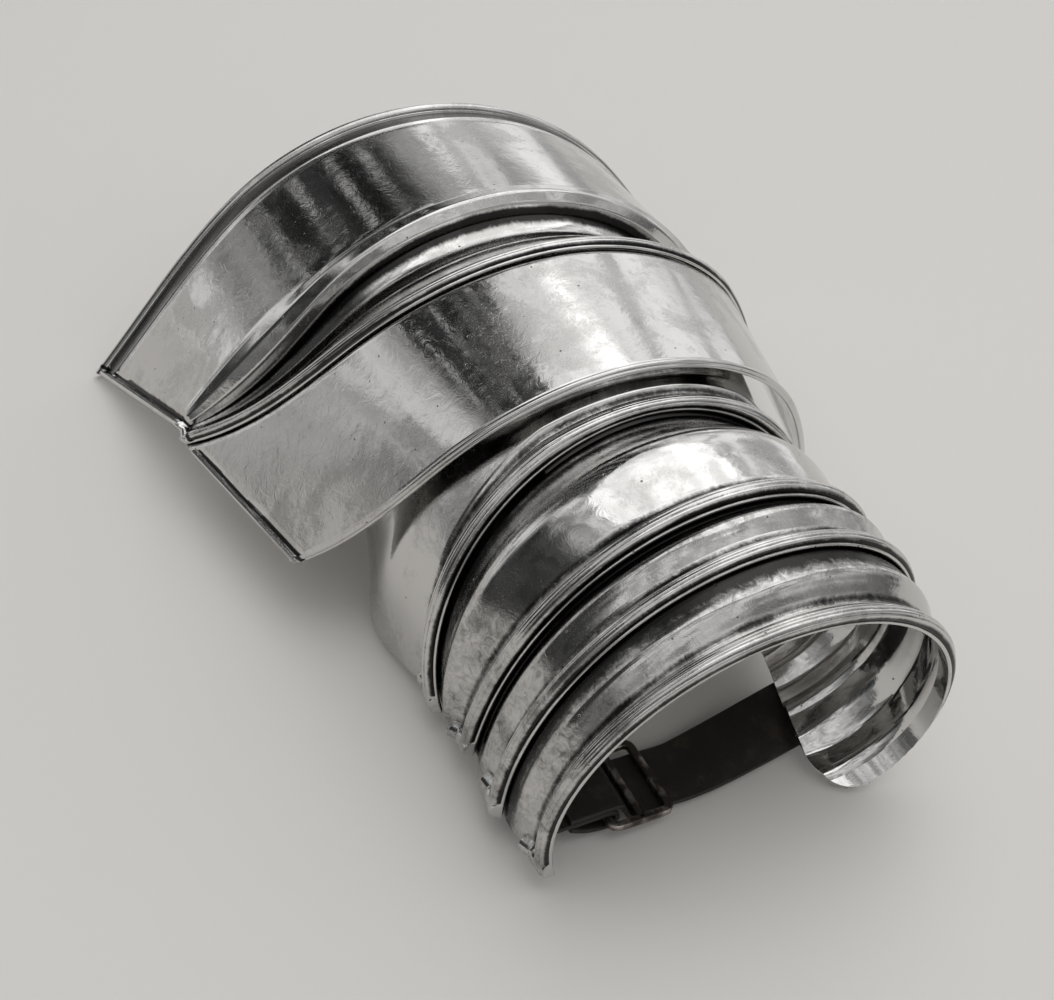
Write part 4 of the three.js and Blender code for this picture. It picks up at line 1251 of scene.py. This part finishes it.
class PAULDRON_OT_stage(bpy.types.Operator):
    """Make the floor, the soft light and the camera"""

    bl_idname = "pauldron.stage"
    bl_label = "Stage"

    def execute(self, context):
        stage = context.scene.pauldron_stage
        mesh = bpy.data.meshes.new("studio_floor")
        corners = [(x * FLOOR_REACH, y * FLOOR_REACH, 0) for x, y in ((-1, -1), (1, -1), (1, 1), (-1, 1))]
        mesh.from_pydata(corners, [], [(0, 1, 2, 3)])
        mesh.materials.append(finish("floor"))
        floor = new_object("studio_floor", mesh)
        floor.location.z = -FLOOR_GAP
        for name, place, size, power, aim in SOFTBOXES:
            light = bpy.data.lights.new(name, "AREA")
            light.shape = "RECTANGLE"
            light.size, light.size_y = size
            light.energy = power * stage.fill
            lamp = bpy.data.objects.new(name, light)
            lamp.location = place
            lamp.rotation_euler = (Vector(aim) - Vector(place)).to_track_quat("-Z", "Y").to_euler()
            context.scene.collection.objects.link(lamp)
        context.scene.world = studio_world(stage.fill)
        context.scene.view_settings.view_transform = "Standard"
        camera = bpy.data.cameras.new("camera")
        camera.lens = stage.lens
        camera.clip_start, camera.clip_end = 0.01, 100
        view = bpy.data.objects.new("camera", camera)
        view.location = stage.camera_place
        view.rotation_euler = Euler(stage.camera_turn)
        context.scene.collection.objects.link(view)
        context.scene.camera = view
        return {"FINISHED"}


class PAULDRON_PT_panel(bpy.types.Panel):
    """Lists the pieces and their sizes"""

    bl_label = "Pauldron"
    bl_idname = "PAULDRON_PT_panel"
    bl_space_type = "VIEW_3D"
    bl_region_type = "UI"
    bl_category = "Pauldron"

    def draw(self, context):
        for operator in OPERATORS:
            self.layout.operator(operator.bl_idname)
        for name, group in GROUPS.items():
            box = self.layout.box()
            for key in group.__annotations__:
                box.prop(getattr(context.scene, name), key)


GROUPS = {
    "pauldron_plates": PlateSizes,
    "pauldron_strap": StrapSizes,
    "pauldron_colours": FinishColours,
    "pauldron_stage": StageSizes,
}
OPERATORS = (
    PAULDRON_OT_neck_plate,
    PAULDRON_OT_shoulder_plate,
    PAULDRON_OT_arm_lames,
    PAULDRON_OT_arm_strap,
    PAULDRON_OT_buckle,
    PAULDRON_OT_rivets,
    PAULDRON_OT_stage,
)


def register():
    """Registers the classes and hangs the sizes on the scene."""
    for group in (*GROUPS.values(), *OPERATORS, PAULDRON_PT_panel):
        bpy.utils.register_class(group)
    for name, group in GROUPS.items():
        setattr(bpy.types.Scene, name, bpy.props.PointerProperty(type=group))


def unregister():
    """Takes them off again."""
    for name in GROUPS:
        delattr(bpy.types.Scene, name)
    for group in (PAULDRON_PT_panel, *OPERATORS, *GROUPS.values()):
        bpy.utils.unregister_class(group)


def main():
    """Makes every piece in order."""
    register()
    for operator in OPERATORS:
        group, name = operator.bl_idname.split(".")
        getattr(getattr(bpy.ops, group), name)()


if __name__ == "__main__":
    main()
